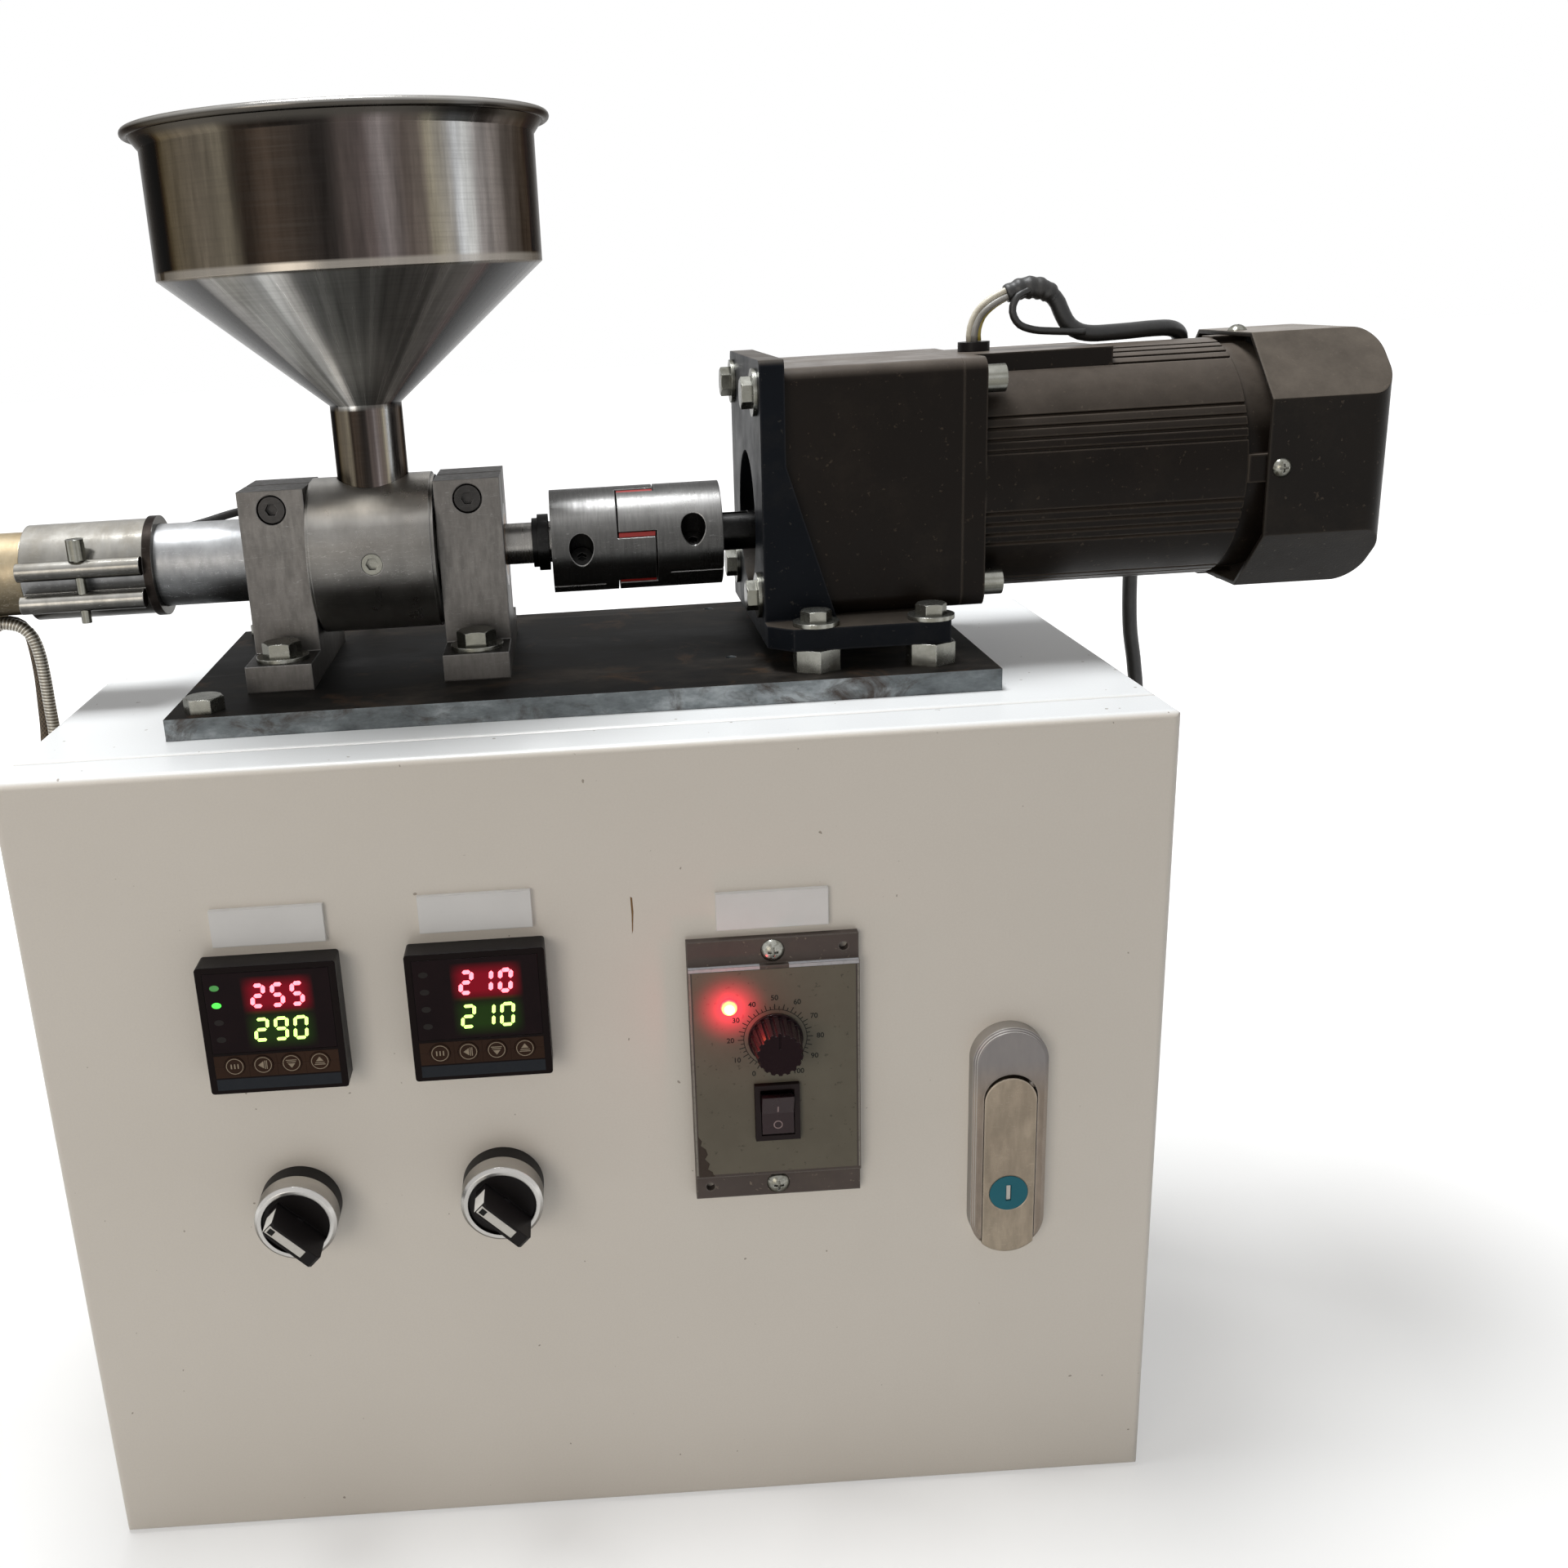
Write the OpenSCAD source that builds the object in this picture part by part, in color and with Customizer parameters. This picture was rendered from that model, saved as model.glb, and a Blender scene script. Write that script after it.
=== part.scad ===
// Bench-top plastic extruder: a screw, barrel and hopper on a steel plate, driven by a
// gear motor, on top of a sheet-steel control cabinet.
// Origin at the centre of the cabinet's underside, X towards the motor, Y to the back, Z up.

/* [Cabinet] */
// Width of the cabinet
cab_w = 400; // [380:5:460]
// Height of the cabinet
cab_h = 310; // [300:5:380]
// Depth of the cabinet with its door
cab_d = 200; // [190:5:260]
// Thickness of the folded sheet
sheet = 1.5; // [1.2:0.1:2]
// Depth of the door tray
door_depth = 21; // [20:0.5:24]
// Gap between the door tray and the body
door_gap = 1.5; // [1.4:0.1:2.2]
// Width of the rim round the cabinet's opening
rim_w = 24; // [22:1:30]

/* [Base plate] */
// Length of the steel base plate
plate_l = 300; // [290:5:360]
// Width of the base plate
plate_w = 150; // [146:2:180]
// Thickness of the base plate
plate_t = 8; // [6:1:12]
// Distance of the plate's front edge from the door's face
plate_setback = 40; // [32:1:46]

/* [Drive line] */
// Height of the screw axis above the base plate
axis_rise = 43.5; // [42:0.5:52]
// Side of the square gearbox
gear_w = 90; // [88:1:100]
// Length of the gearbox
gear_l = 65; // [63:1:80]
// Drop of the output shaft below the middle of the gearbox
shaft_drop = 18; // [17:0.5:19]
// Diameter of the gearbox's output shaft
out_d = 15; // [12:0.5:16]
// Diameter of the screw's shaft
shaft_d = 16; // [14:0.5:17]
// Outer diameter of the jaw coupling
coup_d = 40; // [38:1:50]
// Length of the jaw coupling
coup_l = 66; // [64:1:78]

/* [Motor] */
// Diameter of the finned motor body
motor_d = 90; // [86:1:92]
// Length of the finned motor body
motor_l = 96; // [90:2:140]
// Length of the fan cover
fan_cover_l = 46; // [42:1:60]
// Rounding of the fan cover's end
cover_round = 9; // [4:1:12]

/* [Screw and barrel] */
// Outer diameter of the barrel
barrel_d = 32; // [31:0.5:34]
// Bore of the barrel
bore_d = 20; // [18:0.5:21]
// Free length of the barrel left of the bearing blocks
barrel_out = 87; // [84:1:130]
// Pitch of the screw's flight
flight_pitch = 20; // [16:1:26]
// Diameter of the feed housing
feed_d = 60; // [56:1:62]
// Length of the feed housing
feed_l = 49; // [44:1:60]
// Thickness of each bearing block
block_t = 25; // [22:1:30]
// Length of the band heater
band_l = 47; // [40:1:47]
// Diameter of the die's outlet
die_d = 3; // [1.5:0.5:4]

/* [Hopper] */
// Outer diameter of the hopper's cylinder
hopper_d = 142; // [120:2:160]
// Height of the hopper's cylinder
hopper_cyl_h = 50; // [40:1:70]
// Height of the hopper's cone
hopper_cone_h = 48; // [40:1:60]
// Diameter of the hopper's neck
neck_d = 27.4; // [24:0.2:30]
// Length of the neck above the feed housing
neck_l = 27; // [20:1:40]
// Thickness of the hopper's sheet
hopper_t = 1; // [0.8:0.1:1.5]

/* [Door controls] */
// Side of a temperature controller's face
ctrl_w = 48; // [46:1:50]
// How far a controller stands out of the door
ctrl_out = 10; // [8:0.5:12]
// Diameter of a selector's bezel
sel_d = 29.5; // [28:0.5:32]
// Width of the speed controller
speed_w = 60; // [58:1:64]
// Height of the speed controller
speed_h = 102; // [100:1:110]
// Width of the lock's escutcheon
lock_w = 27; // [26:0.5:30]
// Height of the lock's escutcheon
lock_h = 91; // [86:1:100]
// How far the lock stands out of the door
lock_t = 7; // [6.5:0.5:9]

/* [Hidden] */
$fn = 64;

// Overrun of cuts, fit of still pieces, and running clearances
over = 1;
fit = 0.1;
run = 0.05;
slip = 0.2;
air = 0.3;

// Cabinet planes and folds
front = -cab_d / 2;
back = cab_d / 2;
door_back = front + door_depth;
body_front = door_back + door_gap;
fold_r = 2.5;
lip_l = 14;
open_x = cab_w / 2 - rim_w;
open_z = rim_w;
hinge_x = -cab_w / 2 + 4 * sheet;
hinge_y = door_back - 14 * sheet * 2 / 3;
hinge_pin_r = 2;
knuckle_r = 4;
knuckle_h = 12;
hinge_inset = 45;
hinge_arm_t = 2.5;
wall_hole_r = 4;
wall_hole_inset = 30;
stud_x_inset = 65;
stud_z_inset = 50;
stud_r = 3;
stand_r = 5;
stand_l = 12;
stud_l = 10;

// Base plate places and holes
plate_z = cab_h + plate_t;
plate_y0 = front + plate_setback;
axis_y = plate_y0 + plate_w / 2;
axis_z = plate_z + axis_rise;
m8_r = 4;
m6_r = 3;
m8_af = 13;
m6_af = 10;
m8_head_h = 5.3;
m6_head_h = 4;
hole_slack = 0.4;
washer_t = 1.6;
m8_washer_r = 10;
m6_washer_r = 8.5;
corner_x = 12.5;
corner_y = 11;
spare_hole_r = 2.1;
nut_chamfer = 0.8;
m8_nut_h = 6.5;
m6_nut_h = 5;
bolt_tail = 2;

// Gearbox and bracket places along X
gear_inset = 7.5;
gear_x = plate_l / 2 - gear_inset - gear_l;
gear_z = axis_z + shaft_drop;
case_r = 6;
case_wall = 4;
case_front = 8;
boss_r = 16;
boss_t = 3;
bracket_t = 9;
bracket_x = gear_x - bracket_t;
bracket_over = 4;
bracket_top = 3.5;
bracket_hole_r = 26;
bracket_hole_up = 5;
foot_t = 8.2;
spacer_h = 8.2;
spacer_af = 16;
spacer_hole_r = 4.3;
foot_out = 19.5;
foot_in = 10;
foot_l = 56.5;
foot_chamfer = 8.5;
foot_z = plate_z + spacer_h;
foot_bolt_out = 13;
foot_bolt_x = 8.5;
foot_bolt_pitch = 42;
gusset_t = 3.8;
gusset_top_w = 6;
gusset_top = 60.5;
gusset_foot = 27;
case_bolt = 37;

// Coupling, collar and blocks along X
coup_gap = 11.5;
coup_x1 = bracket_x - coup_gap;
coup_x0 = coup_x1 - coup_l;
hub_share = 0.385;
hub_l = coup_l * hub_share;
jaw_l = coup_l - 2 * hub_l;
jaw_gap = 0.6;
jaw_in_r = 9;
jaw_angle = 53;
arm_angle = 5;
jaw_phase = 169;
spider_hole_r = 5;
grip = 21;
clamp_off_share = 0.31;
clamp_off = coup_d * clamp_off_share;
clamp_x_share = 0.45;
clamp_slit_share = 0.8;
clamp_swing = acos(2 * clamp_off_share);
clamp_rise = 16;
coup_screw_r = 2.5;
coup_head_r = 4.2;
coup_bore_r = 4.7;
coup_head_l = 5;
hex_socket_r = 2.4;
socket_deep = 2.5;
slit_w = 1.2;
collar_l = 6.5;
collar_r = 11;
collar_step_r = 9.6;
collar_step_l = 2.2;
collar_gap = 1;
shaft_gap = 18;
block_r_x = coup_x0 - shaft_gap - block_t;
feed_x = block_r_x - feed_l;
block_l_x = feed_x - block_t;
barrel_x = block_l_x - barrel_out;
block_rise = 28.5;
block_depth = 40;
block_foot_h = 10;
block_foot_out = 23;
block_bolt_out = 11.5;
slit_block = 2;
cap_rise = 5.2;
cap_head_r = 5;
cap_bore_r = 5.6;
cap_bore_deep = 6.5;
cap_head_l = 6;
cap_sink = 0.4;
housing_gap = 0.8;
lip_w = 1.2;
socket_l = 14;
set_r = 4;
set_l = 9;
throat_r = 8.5;
port_depth = 6.5;
bush_t = 4;
bush_l = 22;
core_r = 6.2;
flight_t = 3;
flight_gap = 0.1;
flight_root = 0.6;
screw_tip = 12;
screw_nose = 6;
steps_per_turn = 18;

// Heaters and die
band_gap = 1;
band_t = 2.5;
ring_l = 3.5;
ring_r = 19.4;
band_slot = 5.2;
band_slot_drop = 2.8;
lip_r = 3.6;
band_screw_r = 1.9;
band_nut_r = 3.4;
band_nut_h = 8;
band_tail = 9;
nozzle_r = 16;
nozzle_l = 27;
die_body_r = 12;
die_seat = 8;
hex_tip_l = 11;
hex_tip_af = 22;
land_l = 8;
lug_w = 16;
lug_l = 11;
lug_h = 8;
lug_sink = 2;

// Hopper rim
rim_out = 4.5;
rim_bead_r = 1.6;
rim_rise = 6;

// Gear train: modules, teeth and face widths
mod_a = 0.8;
mod_b = 1;
mod_c = 1;
pin_teeth_a = 12;
wheel_teeth_a = 40;
pin_teeth_b = 13;
wheel_teeth_b = 40;
pin_teeth_c = 12;
wheel_teeth_c = 42;
press_angle = 25;
add_share = 0.9;
ded_share = 1.15;
backlash = 0.08;
face_c = 12;
face_b = 8;
face_a = 6;
layer = 1.5;
arbor_r = 2.5;
train_x = gear_x + case_front + layer;
mid_x = train_x + face_c + layer;
fast_x = mid_x + face_b + 2 * layer;
motor_c = [0, 0];
out_c = [0, -shaft_drop];
idler_2_angle = 45;
idler_2_c = out_c + centre_gap(mod_c, pin_teeth_c, wheel_teeth_c)
    * [cos(idler_2_angle), sin(idler_2_angle)];
idler_1_c = meeting(motor_c, idler_2_c, centre_gap(mod_a, pin_teeth_a, wheel_teeth_a),
    centre_gap(mod_b, pin_teeth_b, wheel_teeth_b));

// Motor
motor_x = gear_x + gear_l;
flange_t = 8.5;
body_x = motor_x + flange_t;
shield_x = body_x + motor_l;
shield_r = motor_d / 2 - 2;
shield_l = 13;
groove_w = 1.3;
groove_deep = 1.6;
groove_count = 4;
groove_pitch = 5.5;
group_count = 8;
pad_l = 52;
pad_half = 23;
rotor_r = 25;
rotor_l = 70;
rotor_bore = 25.4;
rotor_shaft_r = 5;
stator_end = 8;
long_screw_head = 8;
cover_gap = 6.5;
cover_half = motor_d / 2 + 2;
cover_chamfer = 22.5;
cover_t = 1.5;
cover_x = shield_x + cover_gap;
vent_w = 4;
vent_pitch = 8;
vent_rows = 4;
vent_half = 26;
fan_r = 38;
fan_hub_r = 11;
fan_w = 14;
fan_blade_t = 1.6;
fan_blades = 9;
fan_gap = 10;
cover_screw_r = 3.6;
cover_screw_h = 2.2;
cover_screw_in = 5;
grommet_r = 6;
grommet_h = 3.5;
grommet_x = body_x + grommet_r;

// Door controls
ctrl_share = [-0.28575, -0.1075];
ctrl_x = cab_w * ctrl_share;
ctrl_drop = 90.8;
ctrl_z = cab_h - ctrl_drop;
ctrl_body = ctrl_w - 3.4;
ctrl_deep = 72;
ctrl_lip = 1.2;
window_top = 2.2;
window_side = 2.4;
window_h_share = 0.63;
window_t = 0.8;
key_r = 3.5;
key_row_share = 0.78;
key_first_share = 0.195;
key_pitch_share = 0.205;
key_proud = 0.3;
key_l = 1.8;
key_travel = 0.4;
label_w = 39;
label_h = 13.6;
label_t = 2;
label_share = [-0.28325, -0.105, 0.1505];
label_x = cab_w * label_share;
label_drop = [56.1, 55.7, 61.6];
label_z = [for (d = label_drop) cab_h - d];
sel_share = [-0.28625, -0.10125];
sel_x = cab_w * sel_share;
sel_drop = [165.9, 163.5];
sel_z = [for (d = sel_drop) cab_h - d];
sel_gasket_r = sel_d / 2;
sel_gasket_t = 6.5;
sel_h = 8.4;
sel_round = 1.2;
sel_seat_r = 12;
sel_seat_deep = 5;
sel_thread_r = 11;
sel_nut_r = 15;
sel_nut_t = 4;
sel_block = 29;
sel_block_l = 34;
lever_w = 5.2;
lever_l = 21.5;
lever_tip = 11.5;
lever_h = 17.5;
lever_nose = 1.2;
pointer_w = 3.3;
pointer_l = 16;
pointer_deep = 0.5;
speed_share = 0.1495;
speed_x = cab_w * speed_share;
speed_drop = 122.7;
speed_z = cab_h - speed_drop;
speed_out = 5;
speed_flange = 9.5;
speed_flange_t = 3.2;
speed_body_w = speed_w - 6;
speed_body_h = speed_h - 2 * speed_flange - 3;
speed_deep = 80;
dial_up = 13.4;
dial_z = speed_z + dial_up;
speed_knob_r = 9.3;
speed_knob_h = 12.8;
speed_knob_front_r = 8;
speed_skirt_r = 9.7;
speed_skirt_h = 1.2;
flute_r = 0.75;
flutes = 18;
pot_r = 3;
rocker_down = 15.3;
rocker_z = speed_z - rocker_down;
rocker_pin_r = 0.65;
rocker_w = 16;
rocker_h = 22.2;
rocker_rim = 2;
rocker_out = 2;
rocker_deep = 14;
paddle_w = 11.4;
paddle_h = 16.4;
paddle_tilt = 10;
paddle_proud = 1.2;
paddle_back = 7;
lamp_in = 16;
lamp_x = speed_x - lamp_in;
lamp_up = 26.5;
lamp_z = speed_z + lamp_up;
lamp_r = 3;
lamp_out = 3;
panel_hole_r = 2.2;
panel_screw_r = 4.2;
panel_screw_h = 2.4;
panel_thread_r = 2;
panel_thread_l = 8;
corner_hole_x = 24.8;
corner_hole_r = 1.6;
lock_share = 0.35875;
lock_x = cab_w * lock_share;
lock_drop = 156.5;
lock_z = cab_h - lock_drop;
lock_edge = 1.2;
handle_side = 4.1;
handle_w = lock_w - 2 * handle_side;
handle_gap = 0.3;
handle_top_gap = 1.6;
handle_top_share = 0.804;
pivot_drop = 6;
pivot_r = 1.5;
pivot_z = lock_z - lock_h / 2 + lock_h * handle_top_share - pivot_drop;
pivot_y = front - lock_t / 2 - handle_gap;
heel_angle = 38;
cylinder_r = 7;
cylinder_down = 20.7;
cylinder_z = lock_z - cylinder_down;
slot_w = 2;
slot_h = 6.4;
slot_deep = 1.4;
cam_z = pivot_z;
cam_y = body_front + sheet + 1;
cam_t = 3;
cam_w = 18;
cam_l = 48;
spindle_r = 5;
lock_tube_r = 10;
lock_door_r = 10.5;

// Cabinet's inside
inner_plate_t = 2;
relay_w = 58;
relay_h = 45;
relay_deep = 23;
relay_pitch = 72;
relay_z = 175;
strip_l = 132;
strip_h = 24;
strip_deep = 16;
strip_z = 85;
poles = 12;

// Cable glands: mouth radius of each lead, and how far a gland stands out
gland_hex_af = 18;
gland_hex_l = 5;
gland_dome_l = 13;
gland_dome_r = 7.6;
gland_mouth_r = 5.4;
gland_thread_r = 6;
gland_thread_l = 8;
gland_out = gland_hex_l + gland_dome_l;
power_cord_r = 3.5;
power_x = 150;
power_z = 60;

// Routes of the leads, from the piece they leave to the mouth of their gland
motor_lead_r = 3.1;
motor_route = [[157, 15, 428], [157, 15, 432.5], [159.2, 15, 438], [164, 15, 442.2], [170.5, 15, 445.2],
    [177.5, 15, 446.6], [184, 15, 445.2], [188.3, 15, 441.3], [190.5, 15, 436.8], [193.2, 15.1, 432.4],
    [197.5, 15.4, 429.5], [203, 16.3, 428.4], [210, 18, 428.3], [219, 20.5, 428.4], [229, 23.8, 428.6],
    [238, 28, 428], [244.5, 36, 424.5], [248, 47.5, 417], [248.5, 58, 405], [246.5, 64.5, 391],
    [244, 67, 374], [242, 68, 356], [241, 68, 337], [241, 68, 318], [242, 68, 300], [244.5, 68, 284],
    [246, 68, 268], [243, 68, 254], [236, 68, 244], [227, 68, 238.6], [222, 68, 238], [218, 68, 238]];
heater_lead_r = 1.6;
heater_route = [[-161.5, 28.2, 373.4], [-158, 28.2, 373.4], [-152, 28.8, 374.4], [-146, 30, 375.6],
    [-140, 32, 377], [-134, 35, 378], [-127, 38.6, 378], [-118, 41, 376.5], [-109, 44, 372],
    [-102, 49, 364.5], [-97, 58, 354], [-94, 70, 342], [-92, 83, 331.5], [-92, 96, 322],
    [-92, 108, 311], [-92, 118, 298], [-92, 125, 284], [-92, 128.5, 272], [-92, 128.5, 264],
    [-92, 126, 258.5], [-92, 121.5, 256], [-92, 118, 256]];
nozzle_lead_r = 2.4;
nozzle_route = [[-229, 12, 342.5], [-225.5, 12, 342.5], [-220.5, 12, 341], [-216.8, 12, 337],
    [-215, 12, 330], [-214.5, 12, 320], [-214.5, 12, 308], [-214.5, 12, 296], [-215.5, 12, 284],
    [-218, 12, 272], [-223, 12, 260.5], [-229, 12, 250], [-232.5, 12, 240], [-231.5, 12, 231.5],
    [-227, 12, 226.5], [-222, 12, 225], [-218, 12, 225]];
sensor_lead_r = 2;
sensor_route = [[-229, 18, 342.5], [-226, 18, 342.5], [-222.5, 18.2, 341], [-220.3, 18.6, 337.5],
    [-219.5, 19, 331], [-219.5, 20, 320], [-220.5, 21, 307], [-222, 22.5, 294], [-225, 24.5, 281],
    [-229, 27, 268], [-233.5, 30, 255], [-236.5, 32.5, 243], [-236, 34, 233], [-231.5, 34, 227],
    [-226, 34, 225], [-222, 34, 225], [-218, 34, 225]];

// Distance between the centres of a pinion and its wheel
function centre_gap(m, za, zb) = m * (za + zb) / 2;

// Left-hand point at distance ra from a and rb from b
function meeting(a, b, ra, rb) =
    let (d = norm(b - a), u = (b - a) / d, s = (ra * ra - rb * rb + d * d) / (2 * d))
    a + u * s + [-u[1], u[0]] * sqrt(ra * ra - s * s);

// Direction from one centre to another
function bearing(a, b) = atan2(b[1] - a[1], b[0] - a[0]);

// Involute angle, and a tooth's half angle at radius r
function invol(a) = tan(a) * 180 / PI - a;
function half_tooth(m, z, r) =
    let (rp = m * z / 2, rb = rp * cos(press_angle))
    90 / z - backlash / rp * 90 / PI + invol(press_angle) - (r > rb ? invol(acos(rb / r)) : 0);

// Outline of a spur gear with a tooth on its first axis
function gear_points(m, z) =
    let (rp = m * z / 2, rb = rp * cos(press_angle), radii = [rp - ded_share * m,
        max(rb, rp - ded_share * m), rp, rp + add_share * m])
    [for (i = [0:z - 1], k = [0:7])
        let (r = radii[k < 4 ? k : 7 - k], side = k < 4 ? -1 : 1,
            a = 360 * i / z + side * half_tooth(m, z, r))
        r * [cos(a), sin(a)]];

module gear(m, z, w, turn = 0) {
    rotate(turn) linear_extrude(w) polygon(gear_points(m, z));
}

// A gear whose tooth gap, not its tooth, points in the given direction
module wheel(m, z, w, toward) {
    gear(m, z, w, toward + 180 / z);
}

// Turn a shape drawn flat so that its axis runs along X or Y
module along_x() {
    rotate([90, 0, 90]) children();
}

module along_y() {
    rotate([-90, 0, 0]) children();
}

module xcyl(r, l) {
    along_x() cylinder(h = l, r = r);
}

module ycyl(r, l) {
    along_y() cylinder(h = l, r = r);
}

module hexagon(af, h) {
    cylinder(h = h, d = af / cos(30), $fn = 6);
}

// Hexagon with its top corners turned off
module hex_head(af, h) {
    intersection() {
        hexagon(af, h);
        cylinder(h = h, r1 = af / 2 + h * 2, r2 = af / 2);
    }
}

module hex_bolt(af, head_h, r, l) {
    hex_head(af, head_h);
    translate([0, 0, -l]) cylinder(h = l + over, r = r);
}

module nut(af, h, r) {
    difference() {
        intersection() {
            hexagon(af, h);
            cylinder(h = h, r1 = af / 2 + h * 2, r2 = af / 2 + nut_chamfer);
        }
        translate([0, 0, -over]) cylinder(h = h + 2 * over, r = r);
    }
}

module washer(r_out, r_in, t) {
    difference() {
        cylinder(h = t, r = r_out);
        translate([0, 0, -over]) cylinder(h = t + 2 * over, r = r_in);
    }
}

// Socket-head screw lying along +Z, its head's top at the origin
module cap_screw(head_r, head_l, r, l, socket_r) {
    difference() {
        union() {
            cylinder(h = head_l, r = head_r);
            cylinder(h = head_l + l, r = r);
        }
        translate([0, 0, -over]) cylinder(h = socket_deep + over, r = socket_r, $fn = 6);
    }
}

// Rectangle with round corners, centred
module round_rect(w, h, r) {
    square([w - 2 * r, h], center = true);
    square([w, h - 2 * r], center = true);
    for (x = [-1, 1], y = [-1, 1]) translate([x * (w / 2 - r), y * (h / 2 - r)]) circle(r);
}

// Upright slab with a stadium outline, standing out of the door by t
module stadium(w, h, t) {
    translate([0, 0, 0]) rotate([90, 0, 0]) linear_extrude(t) {
        square([w, h - w], center = true);
        for (s = [-1, 1]) translate([0, s * (h - w) / 2]) circle(w / 2);
    }
}

// Round tube swept along a route by carrying one normal from point to point
function unit(v) = v / norm(v);
function tangents(p) = [for (i = [0:len(p) - 1])
    unit(p[min(i + 1, len(p) - 1)] - p[max(i - 1, 0)])];
function carried(t, i) = i == 0 ? unit(cross(t[0], [t[0][1], t[0][2], -t[0][0]] + [0, 0.5, 0.2]))
    : let (n = carried(t, i - 1)) unit(n - t[i] * (n * t[i]));

module tube(route, r, sides = 8) {
    t = tangents(route);
    rings = [for (i = [0:len(route) - 1]) let (n = carried(t, i), b = cross(t[i], n))
        [for (k = [0:sides - 1]) route[i] + r * (cos(360 * k / sides) * n + sin(360 * k / sides) * b)]];
    last = len(route) - 1;
    polyhedron(points = [for (q = rings) each q], faces = concat(
        [[for (k = [0:sides - 1]) k]],
        [[for (k = [sides - 1:-1:0]) last * sides + k]],
        [for (i = [0:last - 1], k = [0:sides - 1]) let (a = i * sides, n = (k + 1) % sides)
            [a + k, a + sides + k, a + sides + n, a + n]]));
}

// Block of the cabinet's width and height with all its edges rounded, from one depth to another
module cabinet_block(y0, y1) {
    d = y1 - y0;
    intersection() {
        translate([0, y0, cab_h / 2]) rotate([-90, 0, 0]) linear_extrude(d) round_rect(cab_w, cab_h, fold_r);
        translate([0, (y0 + y1) / 2, 0]) linear_extrude(cab_h) round_rect(cab_w, d, fold_r);
        translate([-cab_w / 2, (y0 + y1) / 2, cab_h / 2]) along_x() linear_extrude(cab_w) round_rect(d, cab_h, fold_r);
    }
}

module cabinet() color("whitesmoke") {
    inner_y = body_front + sheet;
    difference() {
        union() {
            difference() {
                cabinet_block(body_front, back);
                translate([-cab_w / 2 + sheet, inner_y, sheet])
                    cube([cab_w - 2 * sheet, back - sheet - inner_y, cab_h - 2 * sheet]);
                translate([-open_x, body_front - over, open_z])
                    cube([2 * open_x, sheet + 2 * over, cab_h - 2 * open_z]);
            }
            rain_lip();
            for (z = [hinge_inset, cab_h - hinge_inset - 2 * knuckle_h]) hinge_ear(z);
            for (x = [-1, 1], z = [stud_z_inset, cab_h - stud_z_inset])
                translate([x * (cab_w / 2 - stud_x_inset), back - sheet, z]) stud();
        }
        for (x = [-1, 1], z = [wall_hole_inset, cab_h - wall_hole_inset])
            translate([x * (cab_w / 2 - wall_hole_inset), back - 2 * sheet, z])
                ycyl(wall_hole_r, 3 * sheet);
        for (p = plate_bolt_places()) translate([p[0], p[1], cab_h - 2 * sheet])
            cylinder(h = 3 * sheet, r = m8_r + hole_slack);
        for (p = foot_bolt_places()) translate([p[0], p[1], cab_h - 2 * sheet])
            cylinder(h = 3 * sheet, r = m6_r + hole_slack);
        at_glands() translate([0, 0, -2 * sheet]) cylinder(h = 3 * sheet, r = gland_thread_r + fit);
    }
}

// Lip that stands forward round the opening and keeps water out
module rain_lip() {
    difference() {
        translate([-open_x - sheet, body_front - lip_l, open_z - sheet])
            cube([2 * (open_x + sheet), lip_l + sheet, cab_h - 2 * open_z + 2 * sheet]);
        translate([-open_x, body_front - lip_l - over, open_z])
            cube([2 * open_x, lip_l + sheet + 2 * over, cab_h - 2 * open_z]);
    }
}

// Ear that reaches from the lip to the hinge pin, under the door's knuckle
module hinge_ear(z) {
    difference() {
        union() {
            translate([hinge_x, hinge_y, z]) cylinder(h = knuckle_h, r = knuckle_r);
            translate([hinge_x, body_front - lip_l, z])
                cube([-open_x - sheet / 2 - hinge_x, hinge_arm_t, knuckle_h]);
        }
        translate([hinge_x, hinge_y, z - over]) cylinder(h = knuckle_h + 2 * over, r = hinge_pin_r + run);
    }
}

module stud() {
    translate([0, -stand_l, 0]) ycyl(stand_r, stand_l);
    translate([0, -stand_l - stud_l, 0]) ycyl(stud_r, stud_l + stand_l);
}

module equipment_plate() color("lightgray") {
    w = cab_w - 2 * stud_x_inset + 4 * stand_r;
    h = cab_h - 2 * stud_z_inset + 4 * stand_r;
    y = back - sheet - stand_l - inner_plate_t;
    difference() {
        translate([-w / 2, y, (cab_h - h) / 2]) cube([w, inner_plate_t, h]);
        for (x = [-1, 1], z = [stud_z_inset, cab_h - stud_z_inset])
            translate([x * (cab_w / 2 - stud_x_inset), y - over, z])
                ycyl(stud_r + hole_slack, inner_plate_t + 2 * over);
    }
}

module solid_state_relays() color("ivory") {
    y = back - sheet - stand_l - inner_plate_t;
    for (i = [-1, 1]) translate([i * relay_pitch / 2 - relay_w / 2, y - relay_deep, relay_z])
        difference() {
            cube([relay_w, relay_deep, relay_h]);
            for (x = [0, 1]) translate([x * (relay_w - relay_w / 6), -over, relay_h / 6])
                cube([relay_w / 6, relay_deep / 3 + over, relay_h * 2 / 3]);
        }
}

module terminal_strip() color("dimgray") {
    y = back - sheet - stand_l - inner_plate_t;
    pitch = strip_l / poles;
    wall = pitch / 6;
    translate([-strip_l / 2, y - strip_deep, strip_z]) difference() {
        cube([strip_l, strip_deep, strip_h]);
        for (i = [0:poles - 1]) translate([i * pitch + wall, -over, wall])
            cube([pitch - 2 * wall, strip_deep / 2 + over, strip_h - 2 * wall]);
    }
}

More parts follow.
